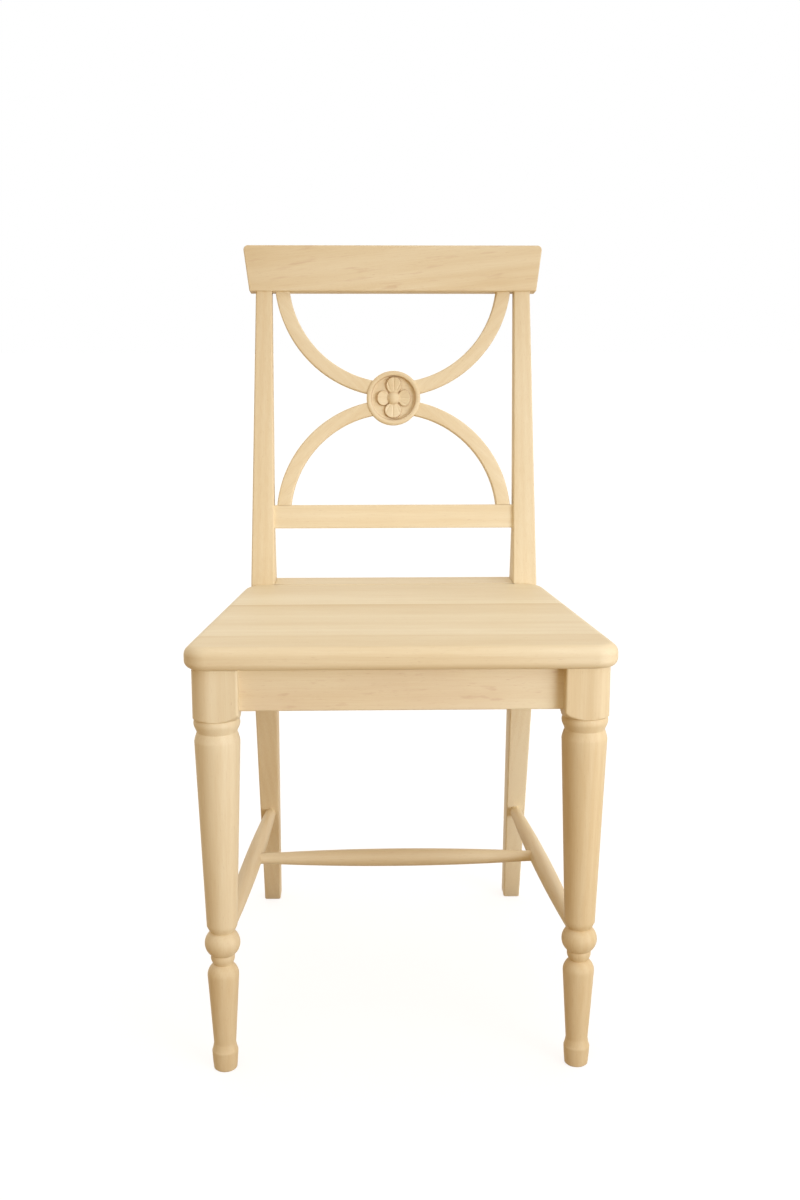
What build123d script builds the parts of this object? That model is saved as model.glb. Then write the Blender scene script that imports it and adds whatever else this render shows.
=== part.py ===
from build123d import *
import os
from math import atan2, cos, radians, sin, sqrt, tan

# A child's side chair in solid wood: turned front legs, raked rear posts, an H of turned
# stretchers, a board seat, and an open back whose four arcs meet at a carved medallion.
# Millimetres. The origin is on the floor under the middle of the chair's box, +X is to the
# viewer's right, -Y to the front and +Z up. Left and right are as seen from the front.

# Seat
seat_height = 350.0
seat_thickness = 18.0
seat_front_width = 333.0  # between the side lines, at the front edge
seat_ear_overhang = 5.4  # side lines outside the posts
seat_depth_to_posts = 262.8
seat_corner_radius = 18.0
seat_ear_radius = 20.0  # where the side lines turn in to the posts
seat_ear_depth = 5.3  # the turn's rear line behind the posts' front faces
seat_top_round = 8.0
seat_bottom_round = 6.0
seat_rear_round = 1.5
rear_board_width = 132.0
front_board_width = 44.5
notch_room = 0.25  # beside each post

# Front legs, from the block down to the floor
side_overhang = 7.2  # seat's side lines outside the leg blocks, at the front edge
front_overhang = 4.8  # seat edge in front of the leg blocks
block_size = 36.0
block_height = 41.0
block_outer_radius = 15.0
block_edge_radius = 2.0
shoulder_height = 8.5  # of the block's corners that the turning cuts away
shoulder_bulge = 1.6
nick_dia = 34.2
bead_dia = 35.6
bead_length = 9.0
bead_crown = 3.6  # the bead's widest place below the block
groove_dia = 32.0
shaft_top_dia = 35.4
shaft_shoulder = 6.0
shaft_foot_dia = 24.0
shaft_foot_length = 5.0
waist_dia = 18.8
ball_dia = 28.0
ball_length = 18.8
collar_dia = 17.2
collar_top_dia = 18.4
collar_length = 6.2
neck_dia = 15.4
neck_length = 2.3
vase_dia = 24.9
vase_shoulder = 9.0
vase_length = 58.1
ankle_dia = 17.6
ankle_length = 6.6
foot_dia = 20.2
foot_length = 15.8
foot_base_dia = 18.5
foot_top_dia = 20.6

# Rear posts
post_inset = 55.8  # the posts' inner faces inside the seat's side lines at the front edge
post_width = 21.6  # at the seat and down the outer side
post_top_width = 14.5
post_foot_width = 16.0
post_seat_depth = 36.8
post_stile_depth = 19.0
post_top_depth = 16.0
stile_start = 58.0  # up the back, where the stile has come to its own depth
post_foot_depth = 22.5
foot_rake = 95.4  # the foot's front face behind the seat's post line
knee_drop = 18.0  # the knee below the aprons
knee_radius = 100.0
stile_radius = 80.0
seat_bend_radius = 12.0  # where the posts turn to the lean at the seat
post_edge_round = 1.2
back_lean = 7.0  # degrees

# Aprons and corner blocks
apron_height = 34.2
apron_thickness = 16.0
apron_recess = 10.0  # front apron behind the faces of the leg blocks
rear_apron_setback = 17.5  # rear apron behind the front faces of the posts
apron_edge_round = 1.2
corner_block_reach = 44.0
corner_block_height = 24.0

# Back, measured up the leaning plane from the seat
crest_bottom = 268.0
crest_height = 41.3
crest_overhang = 5.8  # outside the posts, at the lower edge
crest_flare = 5.6  # of each end, from the lower edge to the top
crest_thickness = 18.0
crest_proud = 1.5  # in front of the posts
crest_top_radius = 4.0
crest_bottom_radius = 2.0
crest_edge_round = 1.4
rail_bottom = 51.9
rail_height = 21.5
rail_thickness = 12.0
back_setback = 3.5  # rail and arcs behind the posts' front faces
rail_edge_round = 1.2
medallion_height = 171.6
arc_side_gap = 2.3  # between the posts and the arcs' widest place
arc_band = 12.8
arc_gap = 2.8  # between the upper and lower arcs at the medallion's centre
arc_edge_round = 1.2

# Medallion and its carved flower
medallion_dia = 49.3
medallion_thickness = 15.0
medallion_edge_round = 1.2
ring_width = 4.2
ring_crown = 1.2
recess_depth = 4.8
recess_cove = 3.4
dome_dia = 12.0
dome_height = 3.6
petal_width = 15.6
petal_tall_length = 15.4
petal_tall_reach = 19.8
petal_side_length = 11.2
petal_side_reach = 15.9
petal_height = 3.2
petal_root = 1.0  # of a petal below the recess's ground
petal_round = 1.6

# Stretchers
stretcher_dia = 15.8
stretcher_end_dia = 10.2
stretcher_embed = 11.0  # of a round end in the leg or the post
stretcher_land = 3.0  # straight length outside each hole
stretcher_inset = 8.2  # a rear end's axis outside the post's inner face
cross_place = 0.59  # of the way from the front leg to the post
cross_end_dia = 9.6
cross_embed = 6.5
stretcher_fit = 0.15

# Dowels, screws and clearances
apron_dowel_dia = 8.0
apron_dowel_spacing = 17.0
dowel_web = 1.0  # wood between the dowels that come together in a leg block
dowel_in_apron = 17.0
crest_dowel_dia = 8.0
crest_dowel_embed = 18.0
rail_dowel_dia = 5.0
rail_dowel_embed = 11.0
arc_dowel_dia = 5.0
arc_dowel_embed = 9.0
dowel_fit = 0.12
dowel_chamfer = 0.6
end_room = 1.0  # at the bottom of every blind hole
glue_line = 0.1
screw_dia = 4.0
screw_head_dia = 8.0
screw_head_height = 2.4
screw_tip_dia = 1.0
screw_tip_length = 3.0
screw_fit = 0.1
screw_head_room = 0.4
seat_screw_bite = 11.0
seat_screw_inset = 8.0  # from the leg's or post's inner face
seat_screw_advance = 12.0  # past the leg's or post's face
apron_screw_grip = 10.0
apron_screw_bite = 11.0
apron_screw_advance = 24.0  # along the apron from the leg or post

# Places worked out from the sizes
sides = {"left": -1, "right": 1}
overall_depth = seat_depth_to_posts + foot_rake + post_foot_depth
front_edge_y = -overall_depth / 2
leg_x = seat_front_width / 2 - side_overhang - block_size / 2
leg_y = front_edge_y + front_overhang + block_size / 2
block_inner_x = leg_x - block_size / 2
block_rear_y = leg_y + block_size / 2
post_y = front_edge_y + seat_depth_to_posts
seat_rear_y = post_y + post_seat_depth
seat_underside = seat_height - seat_thickness
block_bottom = seat_underside - block_height
apron_bottom = seat_underside - apron_height
apron_middle = seat_underside - apron_height / 2
corner_block_middle = seat_underside - corner_block_height / 2
knee_z = apron_bottom - knee_drop
post_inner_x = seat_front_width / 2 - post_inset
post_outer_x = post_inner_x + post_width
post_foot_inner_x = post_outer_x - post_foot_width
apron_y = leg_y - block_size / 2 + apron_recess + apron_thickness / 2
rear_apron_y = post_y + rear_apron_setback + apron_thickness / 2
side_apron_rear_x = post_inner_x + post_width / 2
side_apron_skew = atan2(leg_x - side_apron_rear_x, post_y - block_rear_y)
side_apron_half = apron_thickness / 2 / cos(side_apron_skew)
dowel_in_leg = block_size / 2 - apron_dowel_dia / 2 - dowel_web
lean = radians(back_lean)
rail_top = rail_bottom + rail_height
arc_outer_radius = post_inner_x - arc_side_gap
back_middle = -back_setback - rail_thickness / 2
upper_arc_centre = medallion_height + arc_gap / 2 + arc_outer_radius
lower_arc_centre = medallion_height - arc_gap / 2 - arc_outer_radius
arc_middle_radius = arc_outer_radius - arc_band / 2
ankle_z = foot_length + ankle_length
vase_z = ankle_z + vase_length
neck_z = vase_z + vase_shoulder
collar_z = neck_z + neck_length
ball_bottom = collar_z + collar_length
ball_z = ball_bottom + ball_length / 2
waist_z = ball_bottom + ball_length

# The back's own plane: X across, Y up the lean, Z forward. Its zero is the posts' front at the seat.
back = Plane(origin=(0, post_y, seat_height), x_dir=(1, 0, 0), z_dir=(0, -cos(lean), sin(lean)))


def on_back(across, up, forward=0.0):
    """A point of the leaning back."""
    return back.from_local_coords(Vector(across, up, forward))


def along_back(across, up):
    """A direction in the leaning back's plane."""
    return on_back(across, up) - back.origin


def side_apron_x(y):
    """Distance of a side apron's middle line from the chair's middle at a depth y."""
    return leg_x - (y - block_rear_y) * tan(side_apron_skew)


def around_axis(place, axis):
    """Plane for a turned profile: its X is the radius and its Y runs along the axis."""
    radial = Vector(0, 0, 1) if abs(axis.Z) < abs(axis.X) + abs(axis.Y) else Vector(1, 0, 0)
    across = (radial - axis * radial.dot(axis)).normalized()
    return Plane(origin=place, x_dir=across, z_dir=across.cross(axis))


def bore(joint, dia, behind, ahead, fit):
    """Round hole along the joint's axis, from behind its plane to ahead of it."""
    with Locations(joint.offset(-behind - end_room)):
        Cylinder(dia / 2 + fit, behind + ahead + 2 * end_room,
                 align=(Align.CENTER, Align.CENTER, Align.MIN), mode=Mode.SUBTRACT)


def dowel_group(name, dia, joints, behind, ahead):
    """Writes one node of like dowels, each with eased ends."""
    with BuildPart() as dowels:
        for joint in joints:
            with Locations(joint.offset(-behind)):
                Cylinder(dia / 2, behind + ahead, align=(Align.CENTER, Align.CENTER, Align.MIN))
        chamfer(dowels.edges().filter_by(GeomType.CIRCLE), dowel_chamfer)
    finish(dowels, name)


def screw(joint, grip, bite):
    """Countersunk wood screw whose point goes ahead of the joint's plane."""
    head = joint.offset(-grip)
    length = grip + bite
    with BuildSketch(around_axis(head.origin, joint.z_dir)) as profile:
        with BuildLine():
            Polyline((0, 0), (screw_head_dia / 2, 0), (screw_dia / 2, screw_head_height),
                     (screw_dia / 2, length - screw_tip_length), (screw_tip_dia / 2, length),
                     (0, length), close=True)
        make_face()
    revolve(profile.sketch, axis=Axis(head.origin, joint.z_dir))


def screw_hole(joint, grip, bite):
    """Hole for a screw: countersunk, with a way in behind its head."""
    hole_radius = screw_dia / 2 + screw_fit
    head_radius = screw_head_dia / 2 + screw_head_room
    with Locations(joint.offset(-grip)):
        Cylinder(hole_radius, grip + bite + end_room,
                 align=(Align.CENTER, Align.CENTER, Align.MIN), mode=Mode.SUBTRACT)
        Cone(head_radius, hole_radius, screw_head_height,
             align=(Align.CENTER, Align.CENTER, Align.MIN), mode=Mode.SUBTRACT)
        Cylinder(head_radius, corner_block_reach,
                 align=(Align.CENTER, Align.CENTER, Align.MAX), mode=Mode.SUBTRACT)


def finish(piece, name):
    """Labels a piece and writes it."""
    piece.part.label = name
    export_step(piece.part, f"parts/{name}.step")


# Dowel joints. Each plane lies where two pieces meet, and its axis runs into the leg, post, crest,
# lower rail or medallion.
dowel_heights = (apron_middle - apron_dowel_spacing / 2, apron_middle + apron_dowel_spacing / 2)
rail_middle = rail_bottom + rail_height / 2
rail_dowel_up = rail_bottom + (rail_height - arc_dowel_embed - end_room) / 2  # under the arcs' holes
front_apron_joints = {}
rear_apron_joints = {}
side_front_joints = {}
side_rear_joints = {}
crest_joints = {}
rail_joints = {}
for name, side in sides.items():
    outward = (side, 0, 0)
    front_apron_joints[name] = [Plane((side * block_inner_x, apron_y, z), z_dir=outward)
                                for z in dowel_heights]
    rear_apron_joints[name] = [Plane((side * post_inner_x, rear_apron_y, z), z_dir=outward)
                               for z in dowel_heights]
    side_front_joints[name] = [Plane((side * leg_x, block_rear_y, z), z_dir=(0, -1, 0))
                               for z in dowel_heights]
    side_rear_joints[name] = [Plane((side * side_apron_rear_x, post_y, z), z_dir=(0, 1, 0))
                              for z in dowel_heights]
    post_top_x = side * (post_inner_x + post_top_width / 2)
    crest_joints[name] = [Plane(on_back(post_top_x, crest_bottom, -post_top_depth / 2),
                                z_dir=along_back(0, 1))]
    rail_joints[name] = [Plane(on_back(side * post_inner_x, rail_dowel_up, back_middle), z_dir=outward)]

# Arcs of the back: side, centre up the back, the edge each one stands on, and the way to that edge
arcs = {}
for name, side in sides.items():
    arcs[f"upper_{name}_arc"] = (side, upper_arc_centre, crest_bottom, 1)
    arcs[f"lower_{name}_arc"] = (side, lower_arc_centre, rail_top, -1)


def arc_edge_joint(side, centre, edge, way):
    """Where an arc's middle line meets the crest or the lower rail, along its tangent."""
    rise = edge - centre
    across = sqrt(arc_middle_radius**2 - rise**2)
    return Plane(on_back(side * across, edge, back_middle),
                 z_dir=along_back(-way * side * rise, way * across))


def arc_rim_joint(side, centre, edge, way):
    """Where an arc's middle line meets the medallion's rim, along its tangent."""
    rim = medallion_dia / 2
    apart = centre - medallion_height
    rise = (rim**2 + apart**2 - arc_middle_radius**2) / (2 * apart)
    across = sqrt(rim**2 - rise**2)
    return Plane(on_back(side * across, medallion_height + rise, back_middle),
                 z_dir=along_back(-side * abs(apart - rise), -way * across))


arc_edge_joints = {name: arc_edge_joint(*place) for name, place in arcs.items()}
arc_rim_joints = {name: arc_rim_joint(*place) for name, place in arcs.items()}

# Stretchers run level at the balls of the front legs, back to the raked faces of the posts
post_face_y = post_y + foot_rake * (1 - ball_z / knee_z)
post_splay = post_inner_x - post_foot_inner_x
stretcher_rear_x = post_foot_inner_x + post_splay * ball_z / knee_z + stretcher_inset
stretcher_run = Vector(stretcher_rear_x - leg_x, post_face_y - leg_y)
cross_x = leg_x + stretcher_run.X * cross_place
cross_y = leg_y + stretcher_run.Y * cross_place
leg_hole_bottom = ball_dia / 2 - stretcher_embed
stretcher_axes = {}
cross_joints = {}
for name, side in sides.items():
    heading = Vector(side * stretcher_run.X, stretcher_run.Y).normalized()
    stretcher_axes[name] = Plane((side * leg_x, leg_y, ball_z), z_dir=heading)
    cross_joints[name] = Plane((side * (cross_x - stretcher_dia / 2), cross_y, ball_z), z_dir=(side, 0, 0))

# Corners of the seat frame: side, the leg's or post's inner face, the cross apron's face, the leg's or
# post's face towards the side apron, and the way from there along the side apron
corners = {}
for name, side in sides.items():
    corners[f"front_{name}"] = (side, block_inner_x, apron_y + apron_thickness / 2, block_rear_y, 1)
    corners[f"rear_{name}"] = (side, post_inner_x, rear_apron_y - apron_thickness / 2, post_y, -1)
seat_screw_joints = {}
cross_screw_joints = {}
side_screw_joints = {}
for corner, (side, inner_x, face_y, stop_y, way) in corners.items():
    seat_screw_x = side * (inner_x - seat_screw_inset)
    seat_screw_y = stop_y + way * seat_screw_advance
    seat_screw_joints[corner] = Plane((seat_screw_x, seat_screw_y, seat_underside), z_dir=(0, 0, 1))
    cross_screw_x = side * (inner_x - apron_screw_advance)
    cross_screw_joints[corner] = Plane((cross_screw_x, face_y, corner_block_middle), z_dir=(0, -way, 0))
    side_screw_y = stop_y + way * apron_screw_advance
    side_screw_x = side * (side_apron_x(side_screw_y) - side_apron_half)
    side_screw_joints[corner] = Plane((side_screw_x, side_screw_y, corner_block_middle),
                                      z_dir=(side * cos(side_apron_skew), sin(side_apron_skew), 0))

os.makedirs("parts", exist_ok=True)

# Front legs: a square block whose lower corners the lathe rounds off, over a turned shaft
for name, side in sides.items():
    half = block_size / 2
    corner = block_size / sqrt(2)
    shoulder_top = block_bottom + shoulder_height
    shoulder_middle = ((nick_dia / 2 + corner) / 2 + shoulder_bulge,
                       block_bottom + shoulder_height / 2 - shoulder_bulge)
    groove_z = block_bottom - bead_length
    shaft_top = groove_z - shaft_shoulder
    leg_axis = Axis((side * leg_x, leg_y, 0), (0, 0, 1))
    turning = around_axis(leg_axis.position, leg_axis.direction)
    with BuildPart() as front_leg:
        with BuildSketch(Plane((side * leg_x, leg_y, block_bottom))):
            with BuildLine():
                FilletPolyline((side * half, -half), (-side * half, -half), (-side * half, half),
                               (side * half, half),
                               radius=(block_outer_radius,) + 3 * (block_edge_radius,), close=True)
            make_face()
        extrude(amount=block_height)
        with BuildSketch(turning):
            with BuildLine():
                ThreePointArc((nick_dia / 2, block_bottom), shoulder_middle, (corner, shoulder_top))
                Polyline((corner, shoulder_top), (corner, seat_underside), (0, seat_underside),
                         (0, block_bottom), (nick_dia / 2, block_bottom))
            make_face()
        revolve(axis=leg_axis, mode=Mode.INTERSECT)
        with BuildSketch(turning):
            with BuildLine():
                Polyline((nick_dia / 2, block_bottom), (0, block_bottom), (0, 0), (foot_base_dia / 2, 0))
                ThreePointArc((foot_base_dia / 2, 0), (foot_dia / 2, foot_length / 2),
                              (foot_top_dia / 2, foot_length))
                Polyline((foot_top_dia / 2, foot_length), (ankle_dia / 2, ankle_z), (vase_dia / 2, vase_z))
                TangentArc((vase_dia / 2, vase_z), (neck_dia / 2, neck_z), tangent=(0, 1))
                Polyline((neck_dia / 2, neck_z), (collar_dia / 2, collar_z),
                         (collar_top_dia / 2, ball_bottom))
                ThreePointArc((collar_top_dia / 2, ball_bottom), (ball_dia / 2, ball_z),
                              (waist_dia / 2, waist_z))
                Polyline((waist_dia / 2, waist_z), (shaft_foot_dia / 2, waist_z + shaft_foot_length),
                         (shaft_top_dia / 2, shaft_top))
                TangentArc((shaft_top_dia / 2, shaft_top), (groove_dia / 2, groove_z), tangent=(0, 1))
                ThreePointArc((groove_dia / 2, groove_z), (bead_dia / 2, block_bottom - bead_crown),
                              (nick_dia / 2, block_bottom))
            make_face()
        revolve(axis=leg_axis)
        for joint in front_apron_joints[name] + side_front_joints[name]:
            bore(joint, apron_dowel_dia, 0, dowel_in_leg, dowel_fit)
        bore(stretcher_axes[name].offset(leg_hole_bottom), stretcher_end_dia, 0, ball_dia, stretcher_fit)
    finish(front_leg, f"front_leg_{name}")


# Rear posts: a sawn side profile, leg raked and stile leaning, crossed with the tapering front outline
def beside_stile(up, behind):
    """A point of the post's side profile, up the lean and behind the stile's front face."""
    return (up * sin(lean) + behind * cos(lean), seat_height + up * cos(lean) - behind * sin(lean))


for name, side in sides.items():
    post_top = beside_stile(crest_bottom, 0)
    with BuildPart() as rear_post:
        with BuildSketch(Plane((0, post_y, 0), x_dir=(0, 1, 0), z_dir=(1, 0, 0))):
            with BuildLine():
                FilletPolyline((foot_rake, 0), (0, knee_z), (0, seat_height), post_top,
                               beside_stile(crest_bottom, post_top_depth),
                               beside_stile(stile_start, post_stile_depth),
                               (post_seat_depth, seat_height), (post_seat_depth, knee_z),
                               (foot_rake + post_foot_depth, 0),
                               radius=(0, knee_radius, seat_bend_radius, 0, 0, stile_radius, seat_bend_radius,
                                       knee_radius, 0), close=True)
            make_face()
        extrude(amount=side * (post_outer_x + post_width))
        with BuildSketch(Plane((0, post_y, 0), x_dir=(1, 0, 0), z_dir=(0, -1, 0))):
            with BuildLine():
                Polyline((side * post_foot_inner_x, 0), (side * post_inner_x, knee_z),
                         (side * post_inner_x, post_top[1]),
                         (side * (post_inner_x + post_top_width), post_top[1]),
                         (side * post_outer_x, seat_height), (side * post_outer_x, 0), close=True)
            make_face()
        extrude(amount=overall_depth, both=True, mode=Mode.INTERSECT)
        corners_up = rear_post.edges().filter_by(lambda edge: abs(edge.tangent_at(0.5).Z) > 0.5)
        fillet(corners_up, post_edge_round)
        for joint in rear_apron_joints[name] + side_rear_joints[name]:
            bore(joint, apron_dowel_dia, 0, dowel_in_leg, dowel_fit)
        for joint in rail_joints[name]:
            bore(joint, rail_dowel_dia, 0, rail_dowel_embed, dowel_fit)
        for joint in crest_joints[name]:
            bore(joint, crest_dowel_dia, crest_dowel_embed, 0, dowel_fit)
        bore(stretcher_axes[name].offset(stretcher_run.length), stretcher_end_dia, stretcher_dia,
             stretcher_embed, stretcher_fit)
    finish(rear_post, f"rear_post_{name}")

# Front and rear aprons: plain rails between the leg blocks and between the posts
for end, place, reach, joints in (("front", apron_y, block_inner_x, front_apron_joints),
                                  ("rear", rear_apron_y, post_inner_x, rear_apron_joints)):
    with BuildPart() as apron:
        with BuildSketch(Plane((0, place, seat_underside))):
            Rectangle(2 * reach, apron_thickness)
        extrude(amount=-apron_height)
        fillet(apron.edges().filter_by(Axis.X).group_by(Axis.Z)[0], apron_edge_round)
        for name in sides:
            for joint in joints[name]:
                bore(joint, apron_dowel_dia, dowel_in_apron, 0, dowel_fit)
            screw_hole(cross_screw_joints[f"{end}_{name}"], apron_screw_grip, apron_screw_bite)
    finish(apron, f"{end}_apron")

# Side aprons: set askew, from the middle of the leg block to the middle of the post
for name, side in sides.items():
    with BuildPart() as apron:
        with BuildSketch(Plane.XY.offset(seat_underside)):
            Polygon((side * (leg_x - side_apron_half), block_rear_y),
                    (side * (leg_x + side_apron_half), block_rear_y),
                    (side * (side_apron_rear_x + side_apron_half), post_y),
                    (side * (side_apron_rear_x - side_apron_half), post_y), align=None)
        extrude(amount=-apron_height)
        fillet(apron.faces().sort_by(Axis.Z)[0].edges().sort_by(Axis.Y)[1:3], apron_edge_round)
        for joint in side_front_joints[name] + side_rear_joints[name]:
            bore(joint, apron_dowel_dia, dowel_in_apron, 0, dowel_fit)
        for end in ("front", "rear"):
            screw_hole(side_screw_joints[f"{end}_{name}"], apron_screw_grip, apron_screw_bite)
    finish(apron, f"{name}_apron")

# Corner blocks: cut to fit round the leg or post, with a diagonal inner face
for corner, (side, inner_x, face_y, stop_y, way) in corners.items():
    far_y = stop_y + way * corner_block_reach
    with BuildPart() as corner_block:
        with BuildSketch(Plane.XY.offset(seat_underside)):
            Polygon((side * inner_x, face_y), (side * (inner_x - corner_block_reach), face_y),
                    (side * (side_apron_x(far_y) - side_apron_half), far_y),
                    (side * (side_apron_x(stop_y) - side_apron_half), stop_y), (side * inner_x, stop_y),
                    align=None)
        extrude(amount=-corner_block_height)
        screw_hole(cross_screw_joints[corner], apron_screw_grip, apron_screw_bite)
        screw_hole(side_screw_joints[corner], apron_screw_grip, apron_screw_bite)
        screw_hole(seat_screw_joints[corner], corner_block_height, seat_screw_bite)
    finish(corner_block, f"corner_block_{corner}")

# Seat: one panel with rounded edges and a tongue between the posts, cut into the boards it is glued up from
seat_tongue_x = post_inner_x - notch_room
seat_ear_y = post_y + seat_ear_depth
seat_rear_x = post_outer_x + seat_ear_overhang
seat_taper = (seat_front_width / 2 - seat_rear_x) / seat_depth_to_posts
seat_ear_x = seat_rear_x - seat_taper * seat_ear_depth
with BuildPart() as seat_panel:
    with BuildSketch(Plane.XY.offset(seat_height)):
        with BuildLine():
            FilletPolyline((seat_front_width / 2, front_edge_y), (seat_ear_x, seat_ear_y),
                           (-seat_ear_x, seat_ear_y), (-seat_front_width / 2, front_edge_y),
                           radius=(seat_corner_radius, seat_ear_radius, seat_ear_radius, seat_corner_radius),
                           close=True)
        make_face()
    extrude(amount=-seat_thickness)
    fillet(seat_panel.faces().sort_by(Axis.Z)[-1].edges(), seat_top_round)
    fillet(seat_panel.faces().sort_by(Axis.Z)[0].edges(), seat_bottom_round)
    with BuildSketch(Plane((0, seat_rear_y, seat_height))):
        Rectangle(2 * seat_tongue_x, post_seat_depth + seat_ear_radius, align=(Align.CENTER, Align.MAX))
    extrude(amount=-seat_thickness)
    fillet(seat_panel.edges().filter_by(Axis.X).group_by(Axis.Y)[-1], seat_rear_round)
    with BuildSketch(Plane((0, post_y, seat_height))):
        for side in sides.values():
            with Locations((side * seat_tongue_x, 0)):
                Rectangle(post_width + 2 * seat_ear_overhang, post_seat_depth,
                          align=(Align.MIN if side > 0 else Align.MAX, Align.MIN))
    extrude(amount=-seat_thickness, mode=Mode.SUBTRACT)
    for corner in corners:
        screw_hole(seat_screw_joints[corner], corner_block_height, seat_screw_bite)

front_joint = Plane((0, front_edge_y + front_board_width, 0), z_dir=(0, 1, 0))
rear_joint = Plane((0, seat_rear_y - rear_board_width, 0), z_dir=(0, 1, 0))
for name, cuts in (("front", [(front_joint, Keep.BOTTOM)]), ("rear", [(rear_joint, Keep.TOP)]),
                   ("middle", [(front_joint, Keep.TOP), (rear_joint, Keep.BOTTOM)])):
    with BuildPart() as board:
        add(seat_panel.part)
        for joint, keep in cuts:
            split(bisect_by=joint, keep=keep)
    finish(board, f"{name}_seat_board")


# Stretchers: spindles that swell to the middle, with round ends in blind holes
def spindle(start, heading, tips, shoulders, end_dia):
    """Turned spindle along a heading: its tips, where it leaves its holes, and its end size."""
    low, high = shoulders[0] + stretcher_land, shoulders[1] - stretcher_land
    end = end_dia / 2
    with BuildSketch(around_axis(start, heading)) as profile:
        with BuildLine():
            Polyline((end, low), (end, tips[0]), (0, tips[0]), (0, tips[1]), (end, tips[1]), (end, high))
            ThreePointArc((end, high), (stretcher_dia / 2, (low + high) / 2), (end, low))
        make_face()
    revolve(profile.sketch, axis=Axis(start, heading))


for name in sides:
    axis = stretcher_axes[name]
    length = stretcher_run.length
    with BuildPart() as stretcher:
        spindle(axis.origin, axis.z_dir, (leg_hole_bottom, length + stretcher_embed), (ball_dia / 2, length),
                stretcher_end_dia)
        bore(cross_joints[name], cross_end_dia, stretcher_dia, cross_embed, stretcher_fit)
    finish(stretcher, f"{name}_stretcher")

with BuildPart() as cross_stretcher:
    shoulder_x = cross_x - stretcher_dia / 2
    tip_x = shoulder_x + cross_embed
    spindle(Vector(0, cross_y, ball_z), Vector(1, 0, 0), (-tip_x, tip_x), (-shoulder_x, shoulder_x),
            cross_end_dia)
finish(cross_stretcher, "cross_stretcher")

# Crest rail: wider at the top, with eased corners
with BuildPart() as crest_rail:
    low_half = post_inner_x + post_top_width + crest_overhang
    top_half = low_half + crest_flare
    crest_top = crest_bottom + crest_height
    with BuildSketch(back.offset(crest_proud)):
        with BuildLine():
            FilletPolyline((-low_half, crest_bottom), (low_half, crest_bottom), (top_half, crest_top),
                           (-top_half, crest_top),
                           radius=2 * (crest_bottom_radius,) + 2 * (crest_top_radius,), close=True)
        make_face()
    extrude(amount=-crest_thickness)
    faces = crest_rail.faces().sort_by(Axis(back.origin, back.z_dir))
    fillet(faces[0].edges() + faces[-1].edges(), crest_edge_round)
    for name in sides:
        for joint in crest_joints[name]:
            bore(joint, crest_dowel_dia, 0, crest_dowel_embed, dowel_fit)
    for name, (side, centre, edge, way) in arcs.items():
        if way > 0:
            bore(arc_edge_joints[name], arc_dowel_dia, arc_dowel_dia, arc_dowel_embed, dowel_fit)
finish(crest_rail, "crest_rail")

# Lower back rail: between the posts, under the lower arcs
with BuildPart() as lower_back_rail:
    with BuildSketch(back.offset(-back_setback)):
        with Locations((0, rail_middle)):
            Rectangle(2 * post_inner_x, rail_height)
    extrude(amount=-rail_thickness)
    fillet(lower_back_rail.edges().filter_by(Axis.X), rail_edge_round)
    for name in sides:
        for joint in rail_joints[name]:
            bore(joint, rail_dowel_dia, rail_dowel_embed, 0, dowel_fit)
    for name, (side, centre, edge, way) in arcs.items():
        if way < 0:
            bore(arc_edge_joints[name], arc_dowel_dia, arc_dowel_dia, arc_dowel_embed, dowel_fit)
finish(lower_back_rail, "lower_back_rail")

# Arcs: quarter rings sawn from board, coped to the medallion's rim
for name, (side, centre, edge, way) in arcs.items():
    with BuildPart() as arc:
        with BuildSketch(back.offset(-back_setback)):
            with Locations((0, centre)):
                Circle(arc_outer_radius)
                Circle(arc_outer_radius - arc_band, mode=Mode.SUBTRACT)
            with Locations((side * arc_outer_radius / 2, (medallion_height + edge) / 2)):
                Rectangle(arc_outer_radius, abs(edge - medallion_height), mode=Mode.INTERSECT)
            with Locations((0, medallion_height)):
                Circle(medallion_dia / 2 + glue_line, mode=Mode.SUBTRACT)
        extrude(amount=-rail_thickness)
        curves = arc.edges().filter_by(GeomType.CIRCLE)
        fillet(curves.filter_by(lambda curve: curve.radius > medallion_dia), arc_edge_round)
        bore(arc_edge_joints[name], arc_dowel_dia, arc_dowel_embed, arc_dowel_dia, dowel_fit)
        bore(arc_rim_joints[name], arc_dowel_dia, arc_dowel_embed, arc_dowel_dia, dowel_fit)
    finish(arc, name)

# Medallion: a turned ring round a recess with a domed centre, and four petals carved standing
medallion_front = back_middle + medallion_thickness / 2
medallion_centre = on_back(0, medallion_height, medallion_front)
petal_ground = on_back(0, medallion_height, medallion_front - recess_depth - petal_root)
side_petal = (petal_side_length, petal_side_reach)
tall_petal = (petal_tall_length, petal_tall_reach)
petals = {0: side_petal, 90: tall_petal, 180: side_petal, 270: tall_petal}
with BuildPart() as flower:
    for turn, (length, reach) in petals.items():
        heading = along_back(cos(radians(turn)), sin(radians(turn)))
        with BuildSketch(Plane(petal_ground, x_dir=heading, z_dir=back.z_dir)):
            with Locations((reach - length / 2, 0)):
                Ellipse(length / 2, petal_width / 2)
        extrude(amount=petal_root + petal_height)
    flat_faces = flower.faces().filter_by(Plane(petal_ground, z_dir=back.z_dir))
    petal_tops = flat_faces.sort_by(Axis(petal_ground, back.z_dir))[-len(petals):]
    fillet(petal_tops.edges(), petal_round)

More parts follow.
